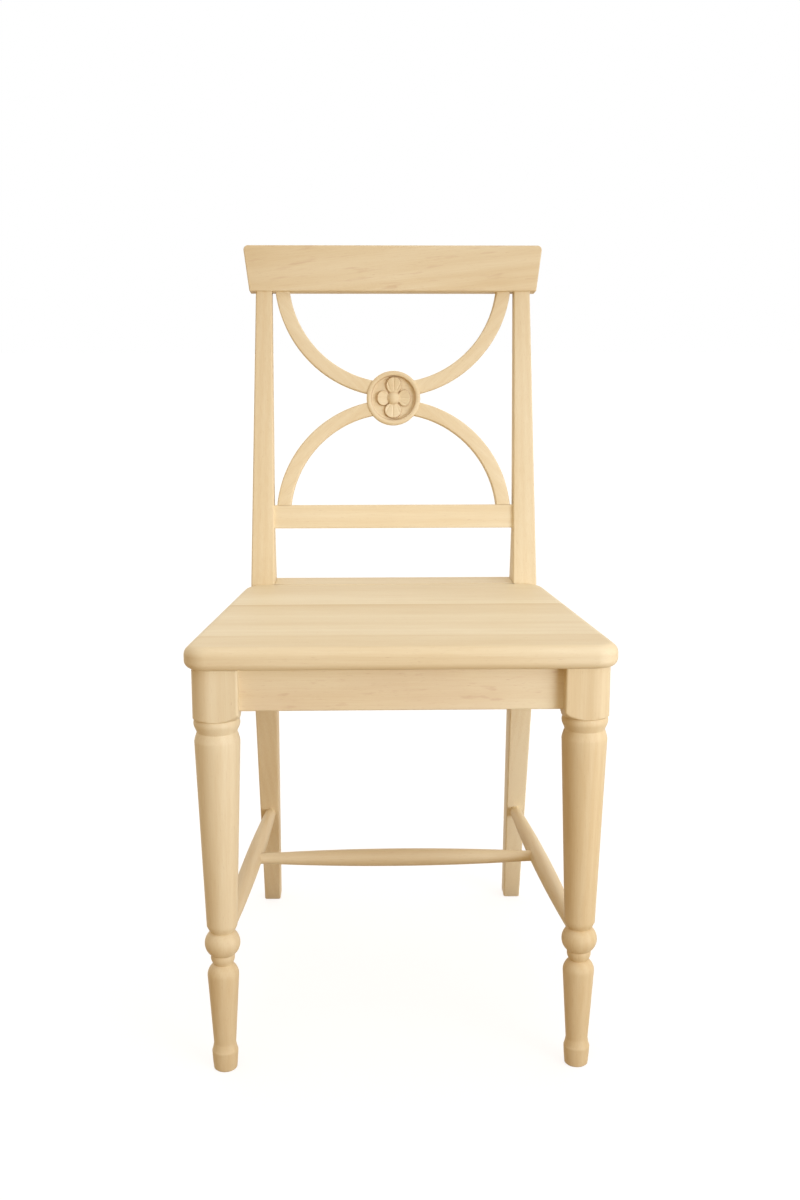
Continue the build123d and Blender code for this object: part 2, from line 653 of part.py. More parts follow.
with BuildPart() as medallion:
    rim, lip = medallion_dia / 2, medallion_dia / 2 - ring_width
    with BuildSketch(around_axis(medallion_centre, back.z_dir)):
        with BuildLine():
            Polyline((0, dome_height - recess_depth), (0, -medallion_thickness), (rim, -medallion_thickness),
                     (rim, -ring_crown))
            ThreePointArc((rim, -ring_crown), (rim - ring_width / 2, 0), (lip, -ring_crown))
            Line((lip, -ring_crown), (lip, recess_cove - recess_depth))
            TangentArc((lip, recess_cove - recess_depth), (lip - recess_cove, -recess_depth), tangent=(0, -1))
            Line((lip - recess_cove, -recess_depth), (dome_dia / 2, -recess_depth))
            TangentArc((0, dome_height - recess_depth), (dome_dia / 2, -recess_depth), tangent=(1, 0))
        make_face()
    revolve(axis=Axis(medallion_centre, back.z_dir))
    rims = medallion.edges().filter_by(GeomType.CIRCLE).sort_by(Axis(medallion_centre, back.z_dir))
    fillet(rims[0], medallion_edge_round)
    add(flower.part)
    for joint in arc_rim_joints.values():
        bore(joint, arc_dowel_dia, arc_dowel_dia, arc_dowel_embed, dowel_fit)
finish(medallion, "medallion")

# Dowels and screws
apron_dowels = {"front": front_apron_joints["left"] + front_apron_joints["right"],
                "rear": rear_apron_joints["left"] + rear_apron_joints["right"],
                "side": side_front_joints["left"] + side_front_joints["right"]
                + side_rear_joints["left"] + side_rear_joints["right"]}
for place, joints in apron_dowels.items():
    dowel_group(f"{place}_apron_dowels", apron_dowel_dia, joints, dowel_in_apron, dowel_in_leg)
dowel_group("crest_dowels", crest_dowel_dia, crest_joints["left"] + crest_joints["right"],
            crest_dowel_embed, crest_dowel_embed)
dowel_group("rail_dowels", rail_dowel_dia, rail_joints["left"] + rail_joints["right"],
            rail_dowel_embed, rail_dowel_embed)
arc_joints = list(arc_edge_joints.values()) + list(arc_rim_joints.values())
dowel_group("arc_dowels", arc_dowel_dia, arc_joints, arc_dowel_embed, arc_dowel_embed)

with BuildPart() as seat_screws:
    for joint in seat_screw_joints.values():
        screw(joint, corner_block_height, seat_screw_bite)
finish(seat_screws, "seat_screws")

with BuildPart() as corner_block_screws:
    for joint in list(cross_screw_joints.values()) + list(side_screw_joints.values()):
        screw(joint, apron_screw_grip, apron_screw_bite)
finish(corner_block_screws, "corner_block_screws")
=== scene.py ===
"""A child's side chair in bare birch: turned front legs, raked posts, a board seat, and an open back
whose arcs meet at a carved medallion. Metres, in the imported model's own frame."""

from math import atan2, cos, pi, radians, sin, tan
from types import SimpleNamespace

import bmesh
import bpy
import numpy as np
from bpy.props import FloatProperty, FloatVectorProperty, PointerProperty, StringProperty
from bpy.types import NodeSocket, Operator, Panel, PropertyGroup
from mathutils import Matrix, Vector


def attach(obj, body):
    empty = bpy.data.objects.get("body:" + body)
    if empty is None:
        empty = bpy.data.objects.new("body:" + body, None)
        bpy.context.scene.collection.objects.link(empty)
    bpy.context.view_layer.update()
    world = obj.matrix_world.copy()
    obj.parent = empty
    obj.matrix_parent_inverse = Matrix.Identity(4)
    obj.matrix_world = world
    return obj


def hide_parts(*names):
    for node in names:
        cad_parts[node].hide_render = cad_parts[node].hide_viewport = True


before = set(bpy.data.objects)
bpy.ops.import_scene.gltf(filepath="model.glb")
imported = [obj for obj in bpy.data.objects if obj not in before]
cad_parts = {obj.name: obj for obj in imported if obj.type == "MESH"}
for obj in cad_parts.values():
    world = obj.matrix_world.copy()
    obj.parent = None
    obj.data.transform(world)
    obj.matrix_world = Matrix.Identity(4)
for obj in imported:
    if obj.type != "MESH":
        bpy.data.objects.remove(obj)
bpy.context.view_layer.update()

bl_info = {
    "name": "Child's side chair",
    "version": (1, 0, 0),
    "blender": (4, 5, 0),
    "location": "View3D > Sidebar > Chair",
    "description": "Dresses a child's side chair in bare birch",
    "category": "Object",
}

MM = 0.001
SIDES = {"left": -1, "right": 1}
WHITE = (1, 1, 1, 1)


def number(value, description, **kind):
    """A number property, with a unit or subtype where one fits."""
    return FloatProperty(default=value, description=description, **kind)


def mm(millimetres, description):
    """A length property, given in millimetres and kept in metres."""
    return number(millimetres * MM, description, unit="LENGTH", precision=4)


def degrees(turn, description):
    """An angle property, given in degrees."""
    return number(radians(turn), description, subtype="ANGLE")


def point(metres, description):
    """A property that holds a point of the chair's frame."""
    return FloatVectorProperty(default=metres, description=description, subtype="TRANSLATION")


def colour(code, description):
    """A colour property, as an sRGB hex code."""
    return StringProperty(default=code, description=description)


class SeatSizes(PropertyGroup):
    height: mm(350, "Floor to the seat's top")
    thickness: mm(18, "Thickness of the boards")
    front_width: mm(333, "Between the side lines at the front edge")
    depth: mm(262.8, "Front edge to the posts' front faces")
    corner_radius: mm(18, "Front corners in plan")
    ear_radius: mm(20, "Where the side lines turn in to the posts")
    ear_depth: mm(5.3, "That turn's rear line behind the posts' front faces")
    ear_overhang: mm(5.4, "Side lines outside the posts")
    notch_play: mm(0.25, "Between the seat's notches and the posts")
    top_round: mm(8, "Rounding of the upper edge")
    bottom_round: mm(6, "Rounding of the lower edge")
    rear_round: mm(1.5, "Rounding of the rear edge")
    rear_board: mm(132, "Width of the board between the posts")
    front_board: mm(44.5, "Width of the board at the front edge")
    joint_line: mm(0.04, "What shows of a glue joint between boards")


class LegSizes(PropertyGroup):
    block: mm(36, "Side of the square block")
    outer_radius: mm(15, "Rounding of the block's outer front corner")
    edge_radius: mm(2, "Rounding of the block's other corners")
    front_overhang: mm(4.8, "Seat edge in front of the blocks")
    side_overhang: mm(7.2, "Seat's side lines outside the blocks")


class PostSizes(PropertyGroup):
    inner_span: mm(221.4, "Between the posts from the knees up")
    width: mm(21.6, "Width at the seat")
    top_width: mm(14.5, "Width under the crest")
    foot_width: mm(16, "Width at the floor")
    seat_depth: mm(36.8, "Front to back at the seat")
    stile_depth: mm(19, "Front to back above the seat")
    top_depth: mm(16, "Front to back under the crest")
    stile_start: mm(58, "Up the back, where the stile has its own depth")
    foot_depth: mm(22.5, "Front to back at the floor")
    foot_rake: mm(95.4, "Foot's front behind the posts' front at the seat")
    foot_ease: mm(0.8, "Height of the eased edge at the floor")
    foot_inset: mm(0.7, "How far that edge draws in")
    knee_height: mm(279.8, "Floor to the bend")
    knee_radius: mm(100, "Rounding of the bend")
    front_bend: mm(1, "Rounding of the front line at the seat")
    rear_bend: mm(2, "Rounding of the rear line at the seat")
    stile_radius: mm(80, "Rounding where the post narrows behind")
    edge_round: mm(1.4, "Easing of the long edges")


class BackSizes(PropertyGroup):
    lean: degrees(7, "Back from upright")
    crest_bottom: mm(268, "Up the back, to the crest's lower edge")
    crest_height: mm(41.3, "Height of the crest")
    crest_bottom_width: mm(262, "Width at the lower edge")
    crest_top_width: mm(273.2, "Width at the upper edge")
    crest_thickness: mm(18, "Front to back")
    crest_proud: mm(1.5, "In front of the posts")
    crest_round: mm(1, "Easing of the crest's edges")
    crest_low_corner: mm(1.1, "Rounding of the lower corners")
    crest_high_corner: mm(4, "Rounding of the upper corners")
    rail_bottom: mm(51.9, "Up the back, to the rail's lower edge")
    rail_height: mm(21.5, "Height of the rail")
    rail_round: mm(1.2, "Easing of the rail's edges")
    bar_thickness: mm(12, "Thickness of the rail and the arcs")
    setback: mm(3.5, "Rail and arcs behind the posts' front faces")
    arc_radius: mm(108.4, "Outside of the arcs")
    arc_band: mm(12.8, "Width of the arcs")
    arc_gap: mm(2.8, "Between upper and lower arcs at the medallion's middle")
    arc_round: mm(1.4, "Easing of the arcs' edges")
    rim_play: mm(0.1, "Between the arcs' ends and the medallion")


class MedallionSizes(PropertyGroup):
    height: mm(171.6, "Up the back, to its middle")
    diameter: mm(49.3, "Across the rim")
    thickness: mm(15, "Front to back")
    back_round: mm(1.2, "Easing of the rear edge")
    ring_width: mm(4.2, "Width of the crowned ring")
    ring_crown: mm(0.8, "Height of the ring's crown")
    recess: mm(4.6, "Ground below the ring")
    cove: mm(1.6, "Radius of the hollow inside the ring")
    dome: mm(13.6, "Diameter of the middle dome")
    dome_height: mm(5.2, "Dome above the ground")
    petal_height: mm(3.6, "Petal above the ground")
    groove: mm(0.55, "Depth of the fan grooves in the petals")


class StretcherSizes(PropertyGroup):
    height: mm(107.4, "Floor to the spindles' axes")
    diameter: mm(15.8, "At the middle")
    end: mm(10.2, "Round ends of the side spindles")
    cross_end: mm(9.6, "Round ends of the cross spindle")
    tip_ease: mm(0.6, "Easing of the ends' tips")
    land: mm(3, "Straight length outside each hole")
    embed: mm(11, "Length in the legs and posts")
    cross_embed: mm(6.5, "Length in the side spindles")
    ball: mm(28, "Diameter of the leg's ball")
    inset: mm(8.2, "Rear ends outside the posts' inner faces")
    cross_place: number(0.59, "Share of the way back", subtype="FACTOR")


class WoodLook(PropertyGroup):
    pale: colour("#F3E8CA", "Early wood, the lightest grain")
    deep: colour("#DDC69A", "Late wood, the darker grain lines")
    fleck: colour("#B48A5A", "Fine pores and flecks")
    mineral: colour("#BE8E6A", "Rosy mineral streaks")
    # Painted shade: the colour that steep carved walls are darkened towards, standing in for shade in the
    # carving.
    burnish: colour("#9C6236", "Carved walls, warmed by the cutter")
    ring_spacing: mm(7, "Growth rings across a board")
    fibre_width: mm(1.1, "Streaks of fibre across the grain")
    fibre_length: mm(38, "Streaks of fibre along the grain")
    fleck_width: mm(0.45, "Pores across the grain, as coarse as shows")
    fleck_length: mm(6, "Pores along the grain")
    patch_width: mm(45, "Broad changes of tone across the grain")
    patch_length: mm(260, "Broad changes of tone along the grain")
    roughness: number(0.58, "Sanded bare wood", subtype="FACTOR")
    bump: mm(0.05, "Height of the raised fibre")


class SteelLook(PropertyGroup):
    dark: colour("#B9BCBE", "Darker crystals of the zinc")
    light: colour("#D2D3D0", "Lighter crystals of the zinc")
    crystal: mm(1.111, "Size of the crystals, as coarse as shows")
    smooth: number(0.28, "Roughness of the smoothest crystals", subtype="FACTOR")
    rough: number(0.42, "Roughness of the roughest crystals", subtype="FACTOR")


class StageLook(PropertyGroup):
    lens: mm(41.985, "Focal length")
    sensor: mm(36, "Longer side of the picture in the camera")
    camera_place: point((-0.0293, -1.2039, 0.5845), "Where the camera stands")
    camera_turn: degrees(1.5558, "To the right of straight ahead")
    camera_pitch: degrees(11.06, "Down from level")
    key: number(2.45, "Power of the large soft light at the right", unit="POWER")
    key_tint: colour("#E7F1FF", "The large light's colour")
    key_width: mm(1200, "The large light from side to side")
    key_height: mm(600, "The large light from top to bottom")
    key_spread: degrees(50, "How far its light fans out")
    key_place: point((1.24, -1.27, 0.47), "Where the large light stands")
    key_aim: point((0.06, 0.04, 0.35), "What it is turned to")
    fill: number(0.47, "Light from the room's walls")
    lean_light: number(0.15, "More light from the right wall than from ahead")
    ceiling: number(1.16, "Light from the room's ceiling")
    room: colour("#FFD292", "The walls' light on the chair")
    floor: colour("#AE9460", "What the floor throws back onto the chair")
    floor_reach: mm(30000, "From the chair to the floor's edge")
    floor_white: number(0.8, "Plain white in what the floor shows")
    floor_shadow: number(0.3, "Share of lit white in what the floor shows")


class ChairSettings(PropertyGroup):
    seat: PointerProperty(type=SeatSizes)
    legs: PointerProperty(type=LegSizes)
    posts: PointerProperty(type=PostSizes)
    back: PointerProperty(type=BackSizes)
    medallion: PointerProperty(type=MedallionSizes)
    stretchers: PointerProperty(type=StretcherSizes)
    wood: PointerProperty(type=WoodLook)
    steel: PointerProperty(type=SteelLook)
    stage: PointerProperty(type=StageLook)


# How the grain runs: turns that bring it to the mapped X.
GRAINS = {
    "across": (0, 0, 0),
    "up": (0, pi / 2, 0),
    "deep": (0, 0, -pi / 2),
    "rising": (0, radians(6), 0),
    "slant_right": (0, pi / 4, 0),
    "slant_left": (0, -pi / 4, 0),
}

# Depth of the wood's colour: what it starts from, what rings, fibre and broad patches add, and the depths at
# which the wood is palest and deepest.
BASE_DEPTH, RING_DEPTH, FIBRE_DEPTH, PATCH_DEPTH = 0.07, 0.16, 0.42, 0.8
PALEST, DEEPEST = 0.3, 1.1

# Flecks: the noise between which they grow, and their strength.
FLECK_START, FLECK_FULL, FLECK_STRENGTH = 0.66, 0.84, 0.35

# Roughness of the fibre on either side of the wood's own, and strength of its bump.
FIBRE_GLOSS, FIBRE_BUMP = 0.07, 0.35

# Mineral stains: length and width of the clouds, the noise between which they grow, and their strength.
LONG_STREAKS = ((0.032, 0.0042, 0.60, 0.76, 0.30),)
SOFT_STAINS = ((0.020, 0.0050, 0.60, 0.80, 0.42), (0.110, 0.0350, 0.40, 0.75, 0.24))

# Fades of tone: the axis, where the added tone is full, where it is gone, and how much it is.
# The legs' fades are painted shade: each leg darkens towards the floor, where less light reaches it.
LEG_PAINTED_SHADE = {"left": ("Z", 0.085, 0.125, 0.2), "right": ("Z", 0.255, 0.295, 0.1)}
# The right post's fade is painted light: the post is paler low down, as if more light reached it there.
POST_PAINTED_LIGHT = {"left": None, "right": ("Z", 0.2, 0.28, -0.3)}

# Petals: turn round the medallion in degrees, reach of the tip, length and width in millimetres, the heel's
# height as a share of the tip's, and the share of the grooves' full depth.
PETALS = (
    (0, 16.0, 12.0, 15.6, 0.45, 0.6),
    (88, 19.5, 15.6, 14.6, 0.40, 1.0),
    (180, 15.2, 11.6, 14.2, 0.50, 0.5),
    (268, 18.6, 14.6, 16.0, 0.42, 0.8),
)

# Places of the colours among a Mix node's inputs and outputs.
MIX_A, MIX_B, MIX_OUT = 6, 7, 2


def settings():
    """The scene's chair settings."""
    return bpy.context.scene.chair


def places():
    """Where the main pieces stand, worked out from the sizes."""
    chair = settings()
    seat, legs, posts, back = chair.seat, chair.legs, chair.posts, chair.back
    front = -(seat.depth + posts.foot_rake + posts.foot_depth) / 2
    return SimpleNamespace(
        front=front,
        leg_x=seat.front_width / 2 - legs.side_overhang - legs.block / 2,
        leg_y=front + legs.front_overhang + legs.block / 2,
        post_y=front + seat.depth,
        post_inner=posts.inner_span / 2,
        post_outer=posts.inner_span / 2 + posts.width,
        bar_middle=-back.setback - back.bar_thickness / 2,
    )


def on_back(across, up, forward):
    """Points of the leaning back: across in X, up along the lean from the seat, forward square to it."""
    across, up, forward = np.broadcast_arrays(across, up, forward)
    lean = settings().back.lean
    return np.stack([
        across,
        places().post_y + up * sin(lean) - forward * cos(lean),
        settings().seat.height + up * cos(lean) + forward * sin(lean),
    ], axis=-1)


def add_piece(name, rings, material, node, crease=35, burnish=None):
    """Closed skin over rings[i, j], point j of ring i. Neighbouring rings are joined by quads, and the first
    and last rings are closed by fans to their mean points. Edges that turn by more than the crease, in
    degrees, stay sharp. The piece stands for a node of the frame. Its painted shade, one number a point,
    is kept as an attribute of the mesh: where it is high the colour is darkened as shade in the carving."""
    count, around, _ = rings.shape
    points = np.concatenate([rings.reshape(-1, 3), rings[[0, -1]].mean(axis=1)])
    here = np.arange(around)
    after = np.roll(here, -1)
    row = np.arange(count - 1)[:, None] * around
    quads = np.stack([row + here, row + after, row + after + around, row + here + around], axis=-1)
    last, low, high = (count - 1) * around, count * around, count * around + 1
    fans = np.concatenate([
        np.stack([np.full(around, low), after, here], axis=-1),
        np.stack([np.full(around, high), last + here, last + after], axis=-1),
    ])
    mesh = bpy.data.meshes.new(name)
    mesh.from_pydata(points.tolist(), [], quads.reshape(-1, 4).tolist() + fans.tolist())
    # Painted shade of each point, kept for the material to darken the carving's walls.
    if burnish is not None:
        layer = mesh.attributes.new("burnish", "FLOAT", "POINT")
        layer.data.foreach_set("value", np.concatenate([burnish.ravel(), [0, 0]]))
    shell = bmesh.new()
    shell.from_mesh(mesh)
    bmesh.ops.remove_doubles(shell, verts=shell.verts, dist=1e-7)
    bmesh.ops.recalc_face_normals(shell, faces=shell.faces)
    shell.to_mesh(mesh)
    shell.free()
    mesh.shade_smooth()
    mesh.set_sharp_from_angle(angle=radians(crease))
    mesh.materials.append(material)
    piece = bpy.data.objects.new(name, mesh)
    bpy.context.scene.collection.objects.link(piece)
    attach(piece, "root")
    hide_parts(node)


def dress_node(node, material):
    """Gives a node of the frame its finish."""
    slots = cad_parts[node].data.materials
    slots.clear()
    slots.append(material)


def eased_section(half_a, half_b, radius, steps=6):
    """Rounded rectangle: its corner circles' points, quadrant by quadrant. The halves may be columns, one
    per ring."""
    turn = np.linspace(0, pi / 2, steps)
    angle = np.concatenate([turn + k * pi / 2 for k in range(4)])
    sign_a = np.repeat([1, -1, -1, 1], steps)
    sign_b = np.repeat([1, 1, -1, -1], steps)
    a = sign_a * (half_a - radius) + radius * np.cos(angle)
    b = sign_b * (half_b - radius) + radius * np.sin(angle)
    return a, b


def rounded_outline(corners, radii, steps=12):
    """Convex outline, anticlockwise, with rounded corners: its points, and outward normals that turn evenly
    round each corner's circle, whose centre lies a radius inside both edges."""
    corners = np.array(corners, float)
    run = np.roll(corners, -1, axis=0) - corners
    normal = np.stack([run[:, 1], -run[:, 0]], axis=-1) / np.linalg.norm(run, axis=1)[:, None]
    points, normals = [], []
    for corner, radius, before, after in zip(corners, radii, np.roll(normal, 1, axis=0), normal):
        centre = corner - radius * (before + after) / (1 + before @ after)
        start = atan2(before[1], before[0])
        turn = atan2(before[0] * after[1] - before[1] * after[0], before @ after)
        angle = start + turn * np.linspace(0, 1, steps)
        out = np.stack([np.cos(angle), np.sin(angle)], axis=-1)
        points.append(centre + radius * out)
        normals.append(out)
    return np.concatenate(points), np.concatenate(normals)


def bent_line(points, radii, steps=14):
    """Line through points with its inner corners rounded: each corner gives way to a circle's arc that is
    tangent to both runs."""
    points = np.array(points, float)
    line = [points[:1]]
    for before, corner, after, radius in zip(points, points[1:], points[2:], radii):
        inward, outward = corner - before, after - corner
        inward, outward = inward / np.linalg.norm(inward), outward / np.linalg.norm(outward)
        turn = atan2(inward[0] * outward[1] - inward[1] * outward[0], inward @ outward)
        start = corner - inward * radius * tan(abs(turn) / 2)
        side = np.array([-inward[1], inward[0]]) * np.sign(turn)
        swing = np.linspace(0, abs(turn), steps)[:, None]
        line.append(start + radius * (np.sin(swing) * inward + (1 - np.cos(swing)) * side))
    return np.concatenate(line + [points[-1:]])


def edge_drop(inside, radius):
    """How far a rounded edge has dropped at a distance inside the outline: a quarter circle's height."""
    return radius - np.sqrt(radius**2 - np.clip(radius - inside, 0, radius) ** 2)


def linear(code):
    """An sRGB hex code as linear red, green, blue and alpha."""
    value = np.array([int(code[i:i + 2], 16) for i in (1, 3, 5)]) / 255
    low, high = value / 12.92, ((value + 0.055) / 1.055) ** 2.4
    return (*np.where(value <= 0.04045, low, high), 1.0)


def fresh_tree(owner):
    """The node tree of a material or world, emptied."""
    owner.use_nodes = True
    owner.node_tree.nodes.clear()
    return owner.node_tree


def add_node(tree, kind, inputs=None, **options):
    """Adds a node with its options and gives its outputs. An input that is a node's socket is linked, and
    any other is set."""
    node = tree.nodes.new(kind)
    for key, value in options.items():
        setattr(node, key, value)
    for key, value in (inputs or {}).items():
        if isinstance(value, NodeSocket):
            tree.links.new(value, node.inputs[key])
        else:
            node.inputs[key].default_value = value
    return node.outputs


def bare_birch(name, grain, pith, figure=1.0, tone=0.0, stains=(), fade=None, burnish=0.0):
    """Bare sanded birch: pale, close-grained wood. Growth rings round the pith give soft long figure, fibre
    gives fine streaks, pores give short flecks, and broad patches change the tone. The grain runs along the
    mapped X. Pith is where the tree's middle lies from the chair's origin, in metres. Figure is how strong
    the rings are. Stains are mineral clouds. A fade darkens or lightens a piece along one axis of the chair.
    Painted shade darkens steep carved walls, standing in for the shade that falls in the carving."""
    look = settings().wood
    material = bpy.data.materials.new(name)
    tree = fresh_tree(material)
    place = add_node(tree, "ShaderNodeTexCoord")["Object"]
    along = add_node(tree, "ShaderNodeMapping",
        {"Vector": place, "Rotation": GRAINS[grain], "Location": pith})[0]

    def stretched(run, width):
        """Coordinates with one unit per run along the grain and one per width across it."""
        scale = (1 / run, 1 / width, 1 / width)
        return add_node(tree, "ShaderNodeMapping", {"Vector": along, "Scale": scale})[0]

    wave_scale = 2 * pi / 20  # the wave's own period is 20 radians a unit, so this makes one ring a unit
    ring = add_node(tree, "ShaderNodeTexWave",
        {"Vector": stretched(look.patch_length, look.ring_spacing), "Scale": wave_scale,
        "Distortion": 9.0, "Detail": 3.0, "Detail Scale": 0.35, "Detail Roughness": 0.6},
        wave_type="RINGS", rings_direction="X", wave_profile="SIN")["Fac"]
    fibre, fleck, patch = [
        add_node(tree, "ShaderNodeTexNoise", {"Vector": stretched(run, width), "Scale": 1.0,
            "Detail": detail, "Roughness": roughness})["Fac"]
        for run, width, detail, roughness in (
            (look.fibre_length, look.fibre_width, 4.0, 0.6),
            (look.fleck_length, look.fleck_width, 1.0, 0.5),
            (look.patch_length, look.patch_width, 3.0, 0.5),
        )
    ]

    depth = tone + BASE_DEPTH - RING_DEPTH / 2 * figure
    for pattern, share in ((ring, RING_DEPTH * figure), (fibre, FIBRE_DEPTH), (patch, PATCH_DEPTH)):
        depth = add_node(tree, "ShaderNodeMath", {0: pattern, 1: share, 2: depth},
            operation="MULTIPLY_ADD")[0]
    if fade:
        axis, full, gone, amount = fade
        distance = add_node(tree, "ShaderNodeSeparateXYZ", {0: place})[axis]
        fading = add_node(tree, "ShaderNodeMapRange", {"Value": distance, "From Min": full, "From Max": gone,
            "To Min": amount, "To Max": 0.0})[0]
        depth = add_node(tree, "ShaderNodeMath", {0: depth, 1: fading}, operation="ADD")[0]
    shade = add_node(tree, "ShaderNodeMapRange",
        {"Value": depth, "From Min": PALEST, "From Max": DEEPEST})[0]
    skin = add_node(tree, "ShaderNodeMix",
        {"Factor": shade, MIX_A: linear(look.pale), MIX_B: linear(look.deep)}, data_type="RGBA")[MIX_OUT]

    flecks = add_node(tree, "ShaderNodeMapRange",
        {"Value": fleck, "From Min": FLECK_START, "From Max": FLECK_FULL, "To Max": FLECK_STRENGTH})[0]
    layers = [(flecks, look.fleck)]
    for run, width, low, high, amount in stains:
        cloud = add_node(tree, "ShaderNodeTexNoise",
            {"Vector": stretched(run, width), "Scale": 1.0, "Detail": 3.0})["Fac"]
        stain = add_node(tree, "ShaderNodeMapRange",
            {"Value": cloud, "From Min": low, "From Max": high, "To Max": amount})[0]
        layers.append((stain, look.mineral))
    # Painted shade: steep carved walls are darkened, standing in for shade in the carving.
    if burnish:
        walls = add_node(tree, "ShaderNodeAttribute", attribute_name="burnish")["Fac"]
        darker = add_node(tree, "ShaderNodeMapRange", {"Value": walls, "To Max": burnish})[0]
        layers.append((darker, look.burnish))
    for share, code in layers:
        skin = add_node(tree, "ShaderNodeMix", {"Factor": share, MIX_A: skin, MIX_B: linear(code)},
            data_type="RGBA")[MIX_OUT]

    gloss = add_node(tree, "ShaderNodeMapRange", {"Value": fibre, "To Min": look.roughness - FIBRE_GLOSS,
        "To Max": look.roughness + FIBRE_GLOSS})[0]
    relief = add_node(tree, "ShaderNodeMath", {0: fibre, 1: flecks}, operation="SUBTRACT")[0]
    bump = add_node(tree, "ShaderNodeBump",
        {"Height": relief, "Strength": FIBRE_BUMP, "Distance": look.bump})[0]
    shader = add_node(tree, "ShaderNodeBsdfPrincipled",
        {"Base Color": skin, "Roughness": gloss, "Normal": bump, "IOR": 1.5})[0]
    add_node(tree, "ShaderNodeOutputMaterial", {"Surface": shader})
    return material


def zinc_steel(name):
    """Zinc-plated steel of the screws: grey metal with a faint crystalline mottle."""
    look = settings().steel
    material = bpy.data.materials.new(name)
    tree = fresh_tree(material)
    place = add_node(tree, "ShaderNodeTexCoord")["Object"]
    mottle = add_node(tree, "ShaderNodeTexNoise",
        {"Vector": place, "Scale": 1 / look.crystal, "Detail": 2.0})["Fac"]
    tint = add_node(tree, "ShaderNodeMix",
        {"Factor": mottle, MIX_A: linear(look.dark), MIX_B: linear(look.light)}, data_type="RGBA")[MIX_OUT]
    gloss = add_node(tree, "ShaderNodeMapRange",
        {"Value": mottle, "To Min": look.smooth, "To Max": look.rough})[0]
    shader = add_node(tree, "ShaderNodeBsdfPrincipled",
        {"Base Color": tint, "Roughness": gloss, "Metallic": 1.0})[0]
    add_node(tree, "ShaderNodeOutputMaterial", {"Surface": shader})
    return material


def seen_directly(tree):
    """One where the camera, a reflection or clear matter looks straight at a surface, or else nothing."""
    rays = add_node(tree, "ShaderNodeLightPath")
    seen = rays["Is Camera Ray"]
    for kind in ("Is Glossy Ray", "Is Transmission Ray"):
        seen = add_node(tree, "ShaderNodeMath", {0: seen, 1: rays[kind]}, operation="MAXIMUM")[0]
    return seen


def leg_profile():
    """Heights and radii of the turning from floor to seat, written in millimetres. Straight members are
    lines, and curved ones are arcs of a sine or a power of the way along them."""
    way = np.linspace(0, 1, 9)
    quarter = np.linspace(0, pi / 2, 9)
    z, r = [], []

    def member(heights, radii):
        """Puts the next member of the turning on top of the last."""
        z.append(np.asarray(heights, float))
        r.append(np.asarray(radii, float))

    # Foot: an eased edge, a slight barrel, and the ankle that draws in above it.
    member([0, 0.8], [8.4, 9.25])
    foot = np.linspace(0.8, 15.8, 15)
    member(foot, np.interp(foot, [0, 15.8], [9.25, 10.4]) + 0.15 * np.sin(np.linspace(0, pi, 15)))
    member(16.1 + 6.3 * way, 10.3 - 1.5 * way**0.75)
    # Vase, with a round shoulder.
    member(np.linspace(24, 80.5, 12), np.linspace(8.9, 12.45, 12))
    member(80.5 + 9 * np.sin(quarter), 1.3 + np.sqrt(11.15**2 - (9 * np.sin(quarter)) ** 2))
    # Collar, ball and waist.
    collar = np.linspace(0, 1, 12)
    member(89.8 + 8 * collar, 7.5 + 2 * np.sin(pi * collar / 1.4))
    ball = np.linspace(0, pi, 25)
    member(107.4 - 9.4 * np.cos(ball), 9.1 + 4.9 * np.sin(ball) ** 1.5)
    member([117.2, 119, 122], [9.3, 10.6, 12])
    # Taper, the groove above it, and the bead.
    member(np.linspace(124, 273, 24), np.linspace(12.074, 17.59, 24))
    member(273 + 7.5 * way, 17.59 - 2.09 * way**1.3)
    bead = np.linspace(0, 1, 15)
    member(280.5 + 10.5 * bead, 15.5 + 1.6 * bead + 1.35 * np.sin(pi * bead**1.35))
    # Shoulder that rounds off the block's corners, and a radius past them for the block itself.
    shoulder = np.linspace(0, 1, 12)
    member(291 + 8.5 * shoulder, 17.1 + 8.36 * (shoulder + 0.24 * np.sin(pi * shoulder)))
    member([300, 331.4, 332], [30, 30, 30])
    z, r = np.concatenate(z), np.concatenate(r)
    keep = np.concatenate([[True], np.diff(z) > 1e-6])
    return z[keep] * MM, r[keep] * MM


def block_radius(angle, half, radii):
    """Distance from a rounded square's middle to its edge. Each quadrant has its own corner radius: the ray
    meets a side, or past the side's end the corner's circle."""
    along, across = np.abs(np.cos(angle)), np.abs(np.sin(angle))
    radius = np.asarray(radii)[(np.floor(angle / (pi / 2)).astype(int)) % 4]
    reach = half / np.maximum(along, across)
    centre = half - radius
    middle = centre * (along + across)
    round_reach = middle + np.sqrt(np.maximum(middle**2 - 2 * centre**2 + radius**2, 0))
    return np.where(reach * np.minimum(along, across) > centre, round_reach, reach)


def front_leg(side, around=160, crowding=0.19):
    """Leg as radius over angle and height: the lesser of the square block's reach and the turning's radius.
    The angles crowd together at the block's corners."""
    legs, spot = settings().legs, places()
    even = np.linspace(0, 2 * pi, around, endpoint=False)
    angle = even + crowding * np.sin(4 * even)
    z, turning = leg_profile()
    outer, edge = legs.outer_radius, legs.edge_radius
    radii = (edge, edge, edge, outer) if side > 0 else (edge, edge, outer, edge)
    square = block_radius(angle, legs.block / 2, radii)
    reach = np.minimum(square, turning[:, None])
    return np.stack([side * spot.leg_x + reach * np.cos(angle), spot.leg_y + reach * np.sin(angle),
        np.broadcast_to(z[:, None], reach.shape)], axis=-1)


